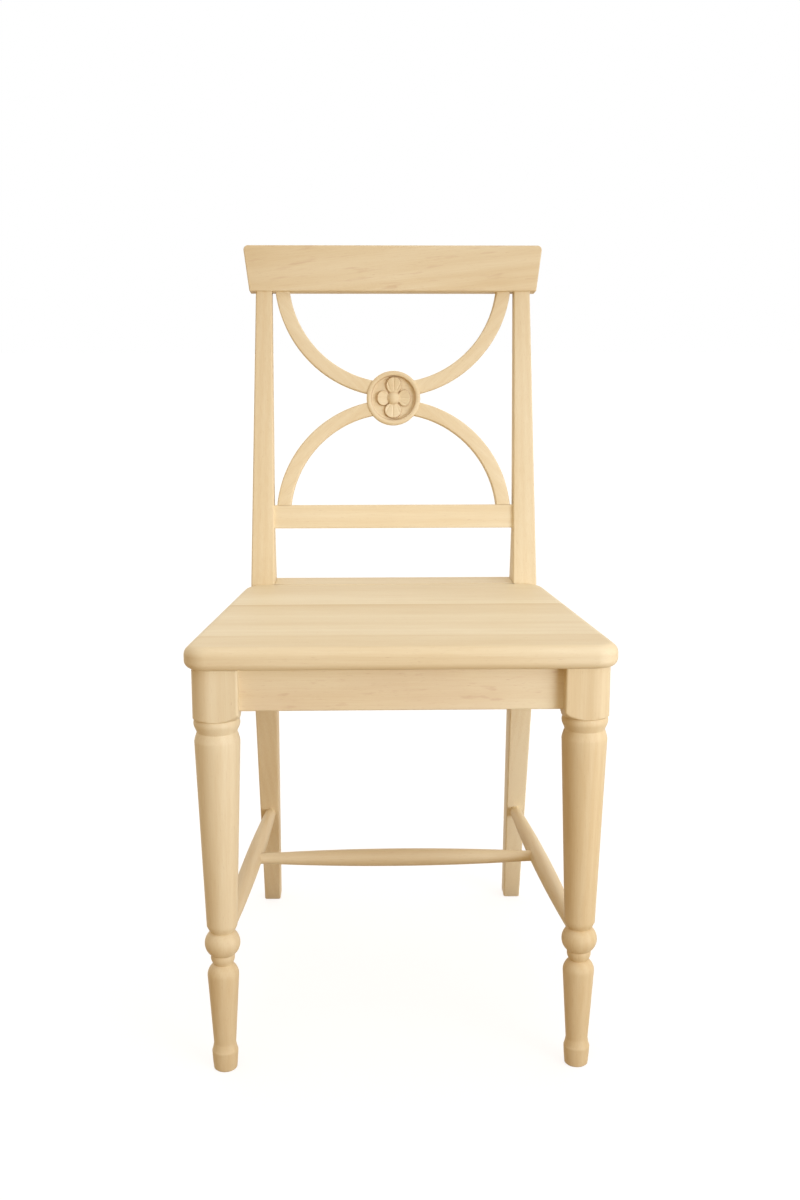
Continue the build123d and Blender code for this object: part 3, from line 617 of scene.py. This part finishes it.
def rear_post(side):
    """Post as eased rectangles from floor to crest. A front line and a rear line, each raked leg, knee,
    upright and leaning stile, give the section's depth, and the outline from the front gives its width."""
    chair, spot = settings(), places()
    posts, back, height = chair.posts, chair.back, chair.seat.height
    lean = back.lean

    def beside(up, behind):
        """Depth and height of a point so far up the leaning stile, and so far behind its front face."""
        return (up * sin(lean) + behind * cos(lean), height + up * cos(lean) - behind * sin(lean))

    top = beside(back.crest_bottom, 0)
    front = bent_line([(posts.foot_rake, 0), (0, posts.knee_height), (0, height), top],
        [posts.knee_radius, posts.front_bend])
    rear = bent_line([(posts.foot_rake + posts.foot_depth, 0), (posts.seat_depth, posts.knee_height),
        (posts.seat_depth, height), beside(posts.stile_start, posts.stile_depth),
        beside(back.crest_bottom, posts.top_depth)],
        [posts.knee_radius, posts.rear_bend, posts.stile_radius])
    # Heights of the sections: far apart where the post is straight, close together at its bends.
    z = np.concatenate([[0, posts.foot_ease], np.linspace(0.05, 0.24, 6), np.linspace(0.25, 0.32, 30),
        np.linspace(0.33, 0.46, 44), np.linspace(0.47, top[1], 6)])
    rear_z = z - np.interp(z, [height, top[1]], [0, posts.top_depth * sin(lean)])
    ahead = np.stack([np.interp(z, front[:, 1], front[:, 0]), z], axis=-1)
    behind = np.stack([np.interp(rear_z, rear[:, 1], rear[:, 0]), rear_z], axis=-1)
    inner = np.interp(z, [0, posts.knee_height, top[1]],
        [spot.post_outer - posts.foot_width, spot.post_inner, spot.post_inner])
    outer = np.interp(z, [0, height, top[1]],
        [spot.post_outer, spot.post_outer, spot.post_inner + posts.top_width])
    depth = np.linalg.norm(behind - ahead, axis=1)
    shrink = np.where(z == 0, posts.foot_inset, 0)
    a, b = eased_section(((outer - inner) / 2 - shrink)[:, None], (depth / 2 - shrink)[:, None],
        posts.edge_round)
    way = (behind - ahead) / depth[:, None]
    middle = (ahead + behind) / 2
    return np.stack([side * ((inner + outer) / 2)[:, None] + a,
        spot.post_y + middle[:, :1] + b * way[:, :1], middle[:, 1:] + b * way[:, 1:]], axis=-1)


def seat_inside(x, y):
    """How far a point lies inside the seat's plan: the least distance to the front, side and ear lines, and
    near a corner the rest of its circle's radius, from the two distances and the angle between the lines."""
    seat, spot = settings().seat, places()
    rear_x = spot.post_outer + seat.ear_overhang
    taper = (seat.front_width / 2 - rear_x) / seat.depth
    slope = np.hypot(1, taper)
    lean = taper / slope
    front = y - spot.front
    side = (seat.front_width / 2 - taper * front - np.abs(x)) / slope
    ear = spot.post_y + seat.ear_depth - y

    def corner(first, second, radius, turn):
        """Distance inside two lines with a rounded corner, from those to each. Turn is the cosine between
        the lines' normals."""
        u, v = radius - first, radius - second
        away = np.sqrt(np.maximum(u**2 + v**2 - 2 * u * v * turn, 0) / (1 - turn**2))
        return np.where((u > v * turn) & (v > u * turn), radius - away, np.minimum(first, second))

    return np.minimum(corner(front, side, seat.corner_radius, -lean),
        corner(ear, side, seat.ear_radius, lean))


def seat_half_width(y, halvings=40):
    """Half the seat's width at each depth, where the distance inside its outline comes to nothing."""
    low, high = np.zeros_like(y), np.full_like(y, settings().seat.front_width)
    for _ in range(halvings):
        middle = (low + high) / 2
        inner = seat_inside(middle, y) > 0
        low, high = np.where(inner, middle, low), np.where(inner, high, middle)
    return low


def seat_board(y, tongue=None, steps=30):
    """Board as cross-sections at depths y: top and bottom run from side to side and drop to the edges by how
    far each point lies inside the outline. Points crowd at the edges as a cube. A tongue is half a width and
    depths, and has square sides."""
    seat = settings().seat
    base = seat.height - seat.thickness
    ease = 1 - np.linspace(0, 1, steps) ** 3
    spread = np.concatenate([ease, -ease[-2::-1]])

    def closed(x, y, top, bottom):
        """Rings over the top from side to side and back along the bottom."""
        x, y, top, bottom = np.broadcast_arrays(x, y[:, None], top, bottom)
        upper, lower = np.stack([x, y, top], axis=-1), np.stack([x, y, bottom], axis=-1)
        return np.concatenate([upper, lower[:, ::-1]], axis=1)

    x = seat_half_width(y)[:, None] * spread
    inside = np.maximum(seat_inside(x, y[:, None]), 0)
    rings = closed(x, y, seat.height - edge_drop(inside, seat.top_round),
        base + edge_drop(inside, seat.bottom_round))
    if tongue is None:
        return rings
    half, depths = tongue
    drop = edge_drop(depths[-1] - depths, seat.rear_round)[:, None]
    return np.concatenate([rings, closed(half * spread, depths, seat.height - drop, base + drop)])


def back_plate(points, normals, front, thickness, ease):
    """Plate on the leaning back: rings shrink in from the outline, round the front and back edges by quarter
    circles, and close over both faces."""
    turn = np.linspace(0, pi / 2, 7)
    inset = ease * (1 - np.sin(turn))
    forward = ease * (1 - np.cos(turn))
    shrink = np.concatenate([inset, inset[::-1]])
    depth = np.concatenate([front - forward, front - thickness + forward[::-1]])
    edge = points - shrink[:, None, None] * normals
    middle = points.mean(axis=0)
    fill = np.array([0.25, 0.5, 0.75])
    face = middle + fill[:, None, None] * (edge[0] - middle)
    rows = np.concatenate([face, edge, face[::-1]])
    depth = np.pad(depth, len(fill), mode="edge")[:, None]
    return on_back(rows[..., 0], rows[..., 1], depth)


def back_arc(side, way, steps=72):
    """Arc as a band round its centre. Each strand of the eased section runs on its own radius from the
    straight edge it stands on, by the sine, to the medallion's rim, by the law of cosines."""
    back, medallion, spot = settings().back, settings().medallion, places()
    centre = medallion.height + way * (back.arc_gap / 2 + back.arc_radius)
    edge = back.crest_bottom if way > 0 else back.rail_bottom + back.rail_height
    apart = abs(centre - medallion.height)
    rim = medallion.diameter / 2 + back.rim_play
    a, b = eased_section(back.arc_band / 2, back.bar_thickness / 2, back.arc_round)
    strand = back.arc_radius - back.arc_band / 2 + a
    start = np.arcsin((edge - centre) / strand)
    end = -way * (pi / 2 - np.arccos((strand**2 + apart**2 - rim**2) / (2 * strand * apart)))
    angle = start + (end - start) * np.linspace(0, 1, steps)[:, None]
    return on_back(side * strand * np.cos(angle), centre + strand * np.sin(angle), spot.bar_middle + b)


def medallion_relief(radius, angle):
    """Carved front, down from the ring's crown: crowned ring, cove, ground and dome by radius, with four
    petals standing on the ground. A petal is an ellipse with a rounded edge, rises to its tip, and is
    fluted by grooves that fan out from behind its heel and run out towards it."""
    size = settings().medallion
    rim = size.diameter / 2
    lip = rim - size.ring_width
    ring_radius = size.ring_width**2 / (8 * size.ring_crown) + size.ring_crown / 2
    ring = np.sqrt(np.maximum(ring_radius**2 - (radius - rim + size.ring_width / 2) ** 2, 0)) - ring_radius
    hollow = np.maximum(radius - (lip - size.cove), 0)
    cove = size.cove - size.recess - np.sqrt(np.maximum(size.cove**2 - hollow**2, 0))
    dome_radius = ((size.dome / 2) ** 2 + size.dome_height**2) / (2 * size.dome_height)
    dome = np.sqrt(np.maximum(dome_radius**2 - radius**2, 0)) - dome_radius + size.dome_height - size.recess
    height = np.where(radius > lip, ring, np.where(radius < size.dome / 2, np.maximum(dome, cove), cove))
    flat, fan_start, flutes, sharpness, run_out = 0.88, 1.5, 7.5, 2.5, 1.1
    for turn, reach, span, wide, heel, flute in PETALS:
        reach, span, wide = reach * MM, span * MM, wide * MM
        along = (radius * np.cos(angle - radians(turn)) - (reach - span / 2)) / (span / 2)
        across = radius * np.sin(angle - radians(turn)) / (wide / 2)
        out = np.sqrt(along**2 + across**2)
        crown = np.sqrt(np.maximum(1 - np.clip((out - flat) / (1 - flat), 0, 1) ** 2, 0))
        rise = heel + (1 - heel) * (along + 1) / 2
        fan = np.arctan2(across, along + fan_start)
        groove = -((1 - np.abs(np.sin(fan * flutes))) ** sharpness) * np.clip(along + run_out, 0, 1)
        petal = (size.petal_height * rise + flute * size.groove * groove) * crown
        height = np.where(out < 1, np.maximum(height, petal - size.recess), height)
    return height


def carved_walls(height, radius, angle, gentle=0.6, more=1.6, passes=3):
    """Where a relief is steep, from 0 to 1: its slope along the radius and round it, from a gentle one that
    counts for nothing, spread a little over the neighbouring points."""
    outward = np.gradient(height, radius, axis=0)
    step = (angle[1] - angle[0]) * radius[:, None]
    around = (np.roll(height, -1, 1) - np.roll(height, 1, 1)) / (2 * step)
    steep = np.clip((np.hypot(outward, around) - gentle) / more, 0, 1)
    for _ in range(passes):
        steep = (np.roll(steep, 1, 1) + steep + np.roll(steep, -1, 1)) / 3
        padded = np.pad(steep, ((1, 1), (0, 0)), mode="edge")
        steep = (padded[:-2] + steep + padded[2:]) / 3
    return steep


def medallion_rings():
    """Medallion as rings: out over the carved front, down the rim, round the back edge and in over the back.
    Also gives the painted shade of its points, which is highest on the steep carved walls."""
    size, spot = settings().medallion, places()
    rim = size.diameter / 2
    lip = rim - size.ring_width
    front = spot.bar_middle + size.thickness / 2
    angle = np.linspace(0, 2 * pi, 360, endpoint=False)
    middle_hole, lip_gap = 0.1 * MM, 0.02 * MM
    radius = np.concatenate([np.linspace(middle_hole, lip - lip_gap, 116),
        rim - size.ring_width / 2 * (1 + np.cos(np.linspace(0, pi, 15)))])
    face = medallion_relief(radius[:, None], angle)
    turn = np.linspace(0, pi / 2, 6)
    ease = size.back_round
    rear_radius = np.concatenate([rim - ease + ease * np.cos(turn), [rim * 0.6, rim * 0.2]])
    rear = -size.thickness + ease - ease * np.concatenate([np.sin(turn), [1, 1]])
    rear = np.broadcast_to(rear[:, None], (len(rear), len(angle)))
    # Painted shade, from the steepness of the carved front; the back gets none.
    burnish = np.concatenate([carved_walls(face, radius, angle), np.zeros_like(rear)])
    radius = np.concatenate([radius, rear_radius])[:, None]
    height = np.concatenate([face, rear])
    return on_back(radius * np.cos(angle), size.height + radius * np.sin(angle), front + height), burnish


def spindle(start, heading, tips, holes, end, around=56):
    """Spindle along a level heading: circles that swell to its middle as a parabola, with straight lands
    outside its holes and eased tips."""
    size = settings().stretchers
    low, high = holes[0] + size.land, holes[1] - size.land
    swell = np.linspace(-1, 1, 60)
    ease = size.tip_ease
    stations = np.concatenate([[tips[0], tips[0] + ease], (low + high) / 2 + (high - low) / 2 * swell,
        [tips[1] - ease, tips[1]]])
    radii = np.concatenate([[end / 2 - ease, end / 2], end / 2 + (size.diameter - end) / 2 * (1 - swell**2),
        [end / 2, end / 2 - ease]])
    heading = np.array(heading, float) / np.linalg.norm(heading)
    side = np.cross(heading, (0, 0, 1))
    up = np.cross(heading, side)
    angle = np.linspace(0, 2 * pi, around, endpoint=False)
    circle = np.cos(angle)[:, None] * side + np.sin(angle)[:, None] * up
    axis = np.array(start, float) + stations[:, None] * heading
    return axis[:, None] + radii[:, None, None] * circle


class CHAIR_OT_legs(Operator):
    """Turn the front legs, each with its square block"""

    bl_idname = "chair.legs"
    bl_label = "Front legs"

    def execute(self, context):
        for name, side in SIDES.items():
            # Painted shade: the fade darkens the leg towards the floor.
            wood = bare_birch(f"bare_birch_leg_{name}", "up", (0.1 * side, 0.09 + 0.2 * side, 0.06),
                figure=0.6, tone=0.04 + 0.14 * side, fade=LEG_PAINTED_SHADE[name])
            add_piece(f"turned_leg_{name}", front_leg(side), wood, f"front_leg_{name}")
        return {"FINISHED"}


class CHAIR_OT_posts(Operator):
    """Saw the rear posts"""

    bl_idname = "chair.posts"
    bl_label = "Rear posts"

    def execute(self, context):
        for name, side in SIDES.items():
            # Painted light: the right post's fade makes its lower leg paler.
            wood = bare_birch(f"bare_birch_post_{name}", "up", (0.4 * side, -0.02, 0.03 - 0.15 * side),
                figure=0.6, tone=-0.05 * side, fade=POST_PAINTED_LIGHT[name])
            add_piece(f"sawn_post_{name}", rear_post(side), wood, f"rear_post_{name}")
        return {"FINISHED"}


class CHAIR_OT_seat(Operator):
    """Plane the seat's boards and round its edges"""

    bl_idname = "chair.seat"
    bl_label = "Seat"

    def execute(self, context):
        seat, spot = settings().seat, places()
        rear = spot.post_y + settings().posts.seat_depth
        first, second = spot.front + seat.front_board, rear - seat.rear_board
        line = seat.joint_line / 2
        swing = 1 - np.cos(np.linspace(0, pi / 2, 34))
        hair = 1e-6  # behind the front edge, where the outline has some width

        front = np.concatenate([[hair], seat.corner_radius * swing[1:], [seat.front_board - line]])
        middle = np.linspace(first + line, second - line, 8)
        ear_start = spot.post_y + seat.ear_depth - seat.ear_radius
        ear = ear_start + (spot.post_y - ear_start) * np.linspace(0, 1, 16)
        tongue = np.concatenate([[spot.post_y], rear - seat.rear_round * swing[::-4]])
        tongue[-1] = rear
        notched = np.concatenate([[second + line], ear])
        half_tongue = spot.post_inner - seat.notch_play
        fade_width = 45 * MM
        for name, rings, pith, tone, fade in (
            ("front", seat_board(spot.front + front), (0.31, 0.16, -0.42), 0.04, None),
            ("middle", seat_board(middle), (1.3, 0.05, -0.46), -0.14,
             ("Y", second, second - fade_width, 0.4)),
            ("rear", seat_board(notched, (half_tongue, tongue)), (2.2, -0.03, -0.40), -0.3,
             ("Y", spot.post_y, second, 0.2)),
        ):
            wood = bare_birch(f"bare_birch_{name}_board", "across", pith, figure=0.5, tone=tone, fade=fade)
            add_piece(f"{name}_board", rings, wood, f"{name}_seat_board")
        return {"FINISHED"}


class CHAIR_OT_aprons(Operator):
    """Finish the aprons and the corner blocks under the seat"""

    bl_idname = "chair.aprons"
    bl_label = "Aprons"

    def execute(self, context):
        front = bare_birch("bare_birch_front_apron", "across", (0.72, 0.11, -0.30), figure=0.6, tone=-0.2,
            stains=SOFT_STAINS)
        rear = bare_birch("bare_birch_rear_apron", "across", (1.9, -0.2, -0.27), figure=0.8)
        deep = bare_birch("bare_birch_side_aprons", "deep", (0.5, 0.3, -0.28), figure=0.8)
        block = bare_birch("bare_birch_corner_blocks", "across", (3.1, 0.02, -0.35), tone=0.05)
        dress_node("front_apron", front)
        dress_node("rear_apron", rear)
        for name in SIDES:
            dress_node(f"{name}_apron", deep)
            for end in ("front", "rear"):
                dress_node(f"corner_block_{end}_{name}", block)
        return {"FINISHED"}


class CHAIR_OT_stretchers(Operator):
    """Turn the three stretchers"""

    bl_idname = "chair.stretchers"
    bl_label = "Stretchers"

    def execute(self, context):
        size, posts, spot = settings().stretchers, settings().posts, places()
        share = size.height / posts.knee_height
        foot_inner = spot.post_outer - posts.foot_width
        rear_x = foot_inner + (spot.post_inner - foot_inner) * share + size.inset
        rear_y = spot.post_y + posts.foot_rake * (1 - share)
        out, back = rear_x - spot.leg_x, rear_y - spot.leg_y
        run = np.hypot(out, back)
        ball = size.ball / 2
        for name, side in SIDES.items():
            rings = spindle((side * spot.leg_x, spot.leg_y, size.height), (side * out, back, 0),
                (ball - size.embed, run + size.embed), (ball, run), size.end)
            wood = bare_birch(f"bare_birch_{name}_stretcher", "deep", (0.2 * side, 0.2, -0.16 * side),
                figure=0.9)
            add_piece(f"turned_{name}_stretcher", rings, wood, f"{name}_stretcher")
        hole = spot.leg_x + out * size.cross_place - size.diameter / 2
        tip = hole + size.cross_embed
        rings = spindle((0, spot.leg_y + back * size.cross_place, size.height), (1, 0, 0),
            (-tip, tip), (-hole, hole), size.cross_end)
        wood = bare_birch("bare_birch_cross_stretcher", "across", (0.9, 0.1, -0.04), figure=0.9)
        add_piece("turned_cross_stretcher", rings, wood, "cross_stretcher")
        return {"FINISHED"}


class CHAIR_OT_rails(Operator):
    """Shape the crest and the lower rail of the back"""

    bl_idname = "chair.rails"
    bl_label = "Back rails"

    def execute(self, context):
        back, spot = settings().back, places()
        low, high = back.crest_bottom, back.crest_bottom + back.crest_height
        half_low, half_high = back.crest_bottom_width / 2, back.crest_top_width / 2
        points, normals = rounded_outline(
            [(-half_low, low), (half_low, low), (half_high, high), (-half_high, high)],
            np.repeat([back.crest_low_corner, back.crest_high_corner], 2))
        crest = back_plate(points, normals, back.crest_proud, back.crest_thickness, back.crest_round)
        wood = bare_birch("bare_birch_crest", "rising", (0.05, 0.0, -0.70), figure=0.9, tone=0.06,
            stains=LONG_STREAKS)
        add_piece("crest", crest, wood, "crest_rail")
        a, b = eased_section(back.rail_height / 2, back.bar_thickness / 2, back.rail_round)
        ends = np.array([-spot.post_inner, spot.post_inner])[:, None]
        rail = on_back(ends, back.rail_bottom + back.rail_height / 2 + a, spot.bar_middle + b)
        wood = bare_birch("bare_birch_lower_rail", "across", (1.6, -0.05, -0.44), figure=0.8, tone=-0.1)
        add_piece("lower_rail", rail, wood, "lower_back_rail")
        return {"FINISHED"}


class CHAIR_OT_arcs(Operator):
    """Saw the four arcs of the back"""

    bl_idname = "chair.arcs"
    bl_label = "Back arcs"

    def execute(self, context):
        for place, way in (("upper", 1), ("lower", -1)):
            for name, side in SIDES.items():
                arc = f"{place}_{name}_arc"
                grain = "slant_right" if side * way > 0 else "slant_left"
                wood = bare_birch(f"bare_birch_{arc}", grain, (0.3 * side, 0.04, 0.3 * way), figure=0.6)
                add_piece(f"sawn_{arc}", back_arc(side, way), wood, arc)
        return {"FINISHED"}


class CHAIR_OT_medallion(Operator):
    """Carve the medallion and its flower"""

    bl_idname = "chair.medallion"
    bl_label = "Medallion"

    def execute(self, context):
        # The carved walls get painted shade, standing in for shade in the carving.
        wood = bare_birch("bare_birch_medallion", "across", (0.4, 0.05, -0.56), figure=0.6, tone=0.04,
            burnish=0.42)
        rings, burnish = medallion_rings()
        add_piece("carved_medallion", rings, wood, "medallion", crease=50, burnish=burnish)
        return {"FINISHED"}


class CHAIR_OT_fasteners(Operator):
    """Finish the dowels and screws"""

    bl_idname = "chair.fasteners"
    bl_label = "Dowels and screws"

    def execute(self, context):
        pegs = bare_birch("bare_birch_dowels", "across", (0.6, 0.3, 0.2), figure=0.5, tone=0.15)
        steel = zinc_steel("zinc_plated_steel")
        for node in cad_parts:
            if node.endswith("dowels"):
                dress_node(node, pegs)
            elif node.endswith("screws"):
                dress_node(node, steel)
        return {"FINISHED"}


def add_floor(scene, look):
    """Wide floor. Seen directly it shows plain white and some lit white, which keeps the chair's shadow, and
    to the chair it throws back a dull colour."""
    reach = look.floor_reach
    mesh = bpy.data.meshes.new("floor")
    corners = [(-reach, -reach, 0), (reach, -reach, 0), (reach, reach, 0), (-reach, reach, 0)]
    mesh.from_pydata(corners, [], [(0, 1, 2, 3)])
    floor = bpy.data.objects.new("floor", mesh)
    scene.collection.objects.link(floor)
    paint = bpy.data.materials.new("white_studio_floor")
    tree = fresh_tree(paint)
    grey = look.floor_shadow
    dull = add_node(tree, "ShaderNodeBsdfDiffuse", {"Color": linear(look.floor)})[0]
    lit = add_node(tree, "ShaderNodeBsdfDiffuse", {"Color": (grey, grey, grey, 1)})[0]
    white = add_node(tree, "ShaderNodeEmission", {"Color": WHITE, "Strength": look.floor_white})[0]
    shown = add_node(tree, "ShaderNodeAddShader", {0: lit, 1: white})[0]
    mixed = add_node(tree, "ShaderNodeMixShader", {0: seen_directly(tree), 1: dull, 2: shown})[0]
    add_node(tree, "ShaderNodeOutputMaterial", {"Surface": mixed})
    mesh.materials.append(paint)


def add_room(scene, look):
    """White room. Its light on the chair grows from the walls to the ceiling and towards the right, warm
    from the walls and white from above. Seen directly it is plain white."""
    world = bpy.data.worlds.new("white_room")
    scene.world = world
    tree = fresh_tree(world)
    heading = add_node(tree, "ShaderNodeTexCoord")["Generated"]
    way = add_node(tree, "ShaderNodeSeparateXYZ", {0: heading})
    rising = add_node(tree, "ShaderNodeMapRange",
        {"Value": way["Z"], "To Min": look.fill, "To Max": look.ceiling})[0]
    strength = add_node(tree, "ShaderNodeMath", {0: way["X"], 1: look.lean_light, 2: rising},
        operation="MULTIPLY_ADD")[0]
    tint = add_node(tree, "ShaderNodeMix", {"Factor": way["Z"], MIX_A: linear(look.room), MIX_B: WHITE},
        data_type="RGBA")[MIX_OUT]
    room = add_node(tree, "ShaderNodeBackground", {"Color": tint, "Strength": strength})[0]
    white = add_node(tree, "ShaderNodeBackground", {"Color": WHITE, "Strength": 1.0})[0]
    mixed = add_node(tree, "ShaderNodeMixShader", {0: seen_directly(tree), 1: room, 2: white})[0]
    add_node(tree, "ShaderNodeOutputWorld", {"Surface": mixed})


def add_key(scene, look):
    """Large soft light at the right, turned to the chair."""
    lamp = bpy.data.lights.new("key", "AREA")
    lamp.shape = "RECTANGLE"
    lamp.size = look.key_width
    lamp.size_y = look.key_height
    lamp.energy = look.key
    lamp.spread = look.key_spread
    lamp.color = linear(look.key_tint)[:3]
    key = bpy.data.objects.new("key", lamp)
    key.location = look.key_place
    key.rotation_euler = (look.key_aim - look.key_place).to_track_quat("-Z", "Y").to_euler()
    scene.collection.objects.link(key)


def add_camera(scene, look):
    """Camera in front of the chair, turned a little to the right and down."""
    lens = bpy.data.cameras.new("camera")
    lens.lens = look.lens / MM
    lens.sensor_width = look.sensor / MM
    camera = bpy.data.objects.new("camera", lens)
    camera.location = look.camera_place
    turn, pitch = look.camera_turn, look.camera_pitch
    aim = Vector((sin(turn) * cos(pitch), cos(turn) * cos(pitch), -sin(pitch)))
    camera.rotation_euler = aim.to_track_quat("-Z", "Y").to_euler()
    scene.collection.objects.link(camera)
    scene.camera = camera


class CHAIR_OT_stage(Operator):
    """Set the pale floor, the soft lights and the camera"""

    bl_idname = "chair.stage"
    bl_label = "Stage"

    def execute(self, context):
        scene, look = context.scene, settings().stage
        scene.view_settings.view_transform = "Standard"
        for add in (add_floor, add_room, add_key, add_camera):
            add(scene, look)
        return {"FINISHED"}


OPERATORS = (CHAIR_OT_legs, CHAIR_OT_posts, CHAIR_OT_seat, CHAIR_OT_aprons, CHAIR_OT_stretchers,
    CHAIR_OT_rails, CHAIR_OT_arcs, CHAIR_OT_medallion, CHAIR_OT_fasteners, CHAIR_OT_stage)
GROUPS = (SeatSizes, LegSizes, PostSizes, BackSizes, MedallionSizes, StretcherSizes, WoodLook, SteelLook,
    StageLook)


class CHAIR_PT_panel(Panel):
    """Sizes, colours and steps of the chair"""

    bl_idname = "CHAIR_PT_panel"
    bl_label = "Side chair"
    bl_space_type = "VIEW_3D"
    bl_region_type = "UI"
    bl_category = "Chair"

    def draw(self, context):
        chair = context.scene.chair
        for group in ChairSettings.__annotations__:
            part = getattr(chair, group)
            box = self.layout.box()
            box.label(text=group.capitalize())
            for key in part.__annotations__:
                box.prop(part, key, text=key.replace("_", " ").capitalize())
        for operator in OPERATORS:
            self.layout.operator(operator.bl_idname)


CLASSES = (*GROUPS, ChairSettings, *OPERATORS, CHAIR_PT_panel)


def register():
    """Makes the classes and the chair's settings known to Blender."""
    for item in CLASSES:
        bpy.utils.register_class(item)
    bpy.types.Scene.chair = PointerProperty(type=ChairSettings)


def unregister():
    """Takes them out again."""
    del bpy.types.Scene.chair
    for item in reversed(CLASSES):
        bpy.utils.unregister_class(item)


def main():
    """Registers the classes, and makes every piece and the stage."""
    register()
    for operator in OPERATORS:
        group, step = operator.bl_idname.split(".")
        getattr(getattr(bpy.ops, group), step)()


if __name__ == "__main__":
    main()
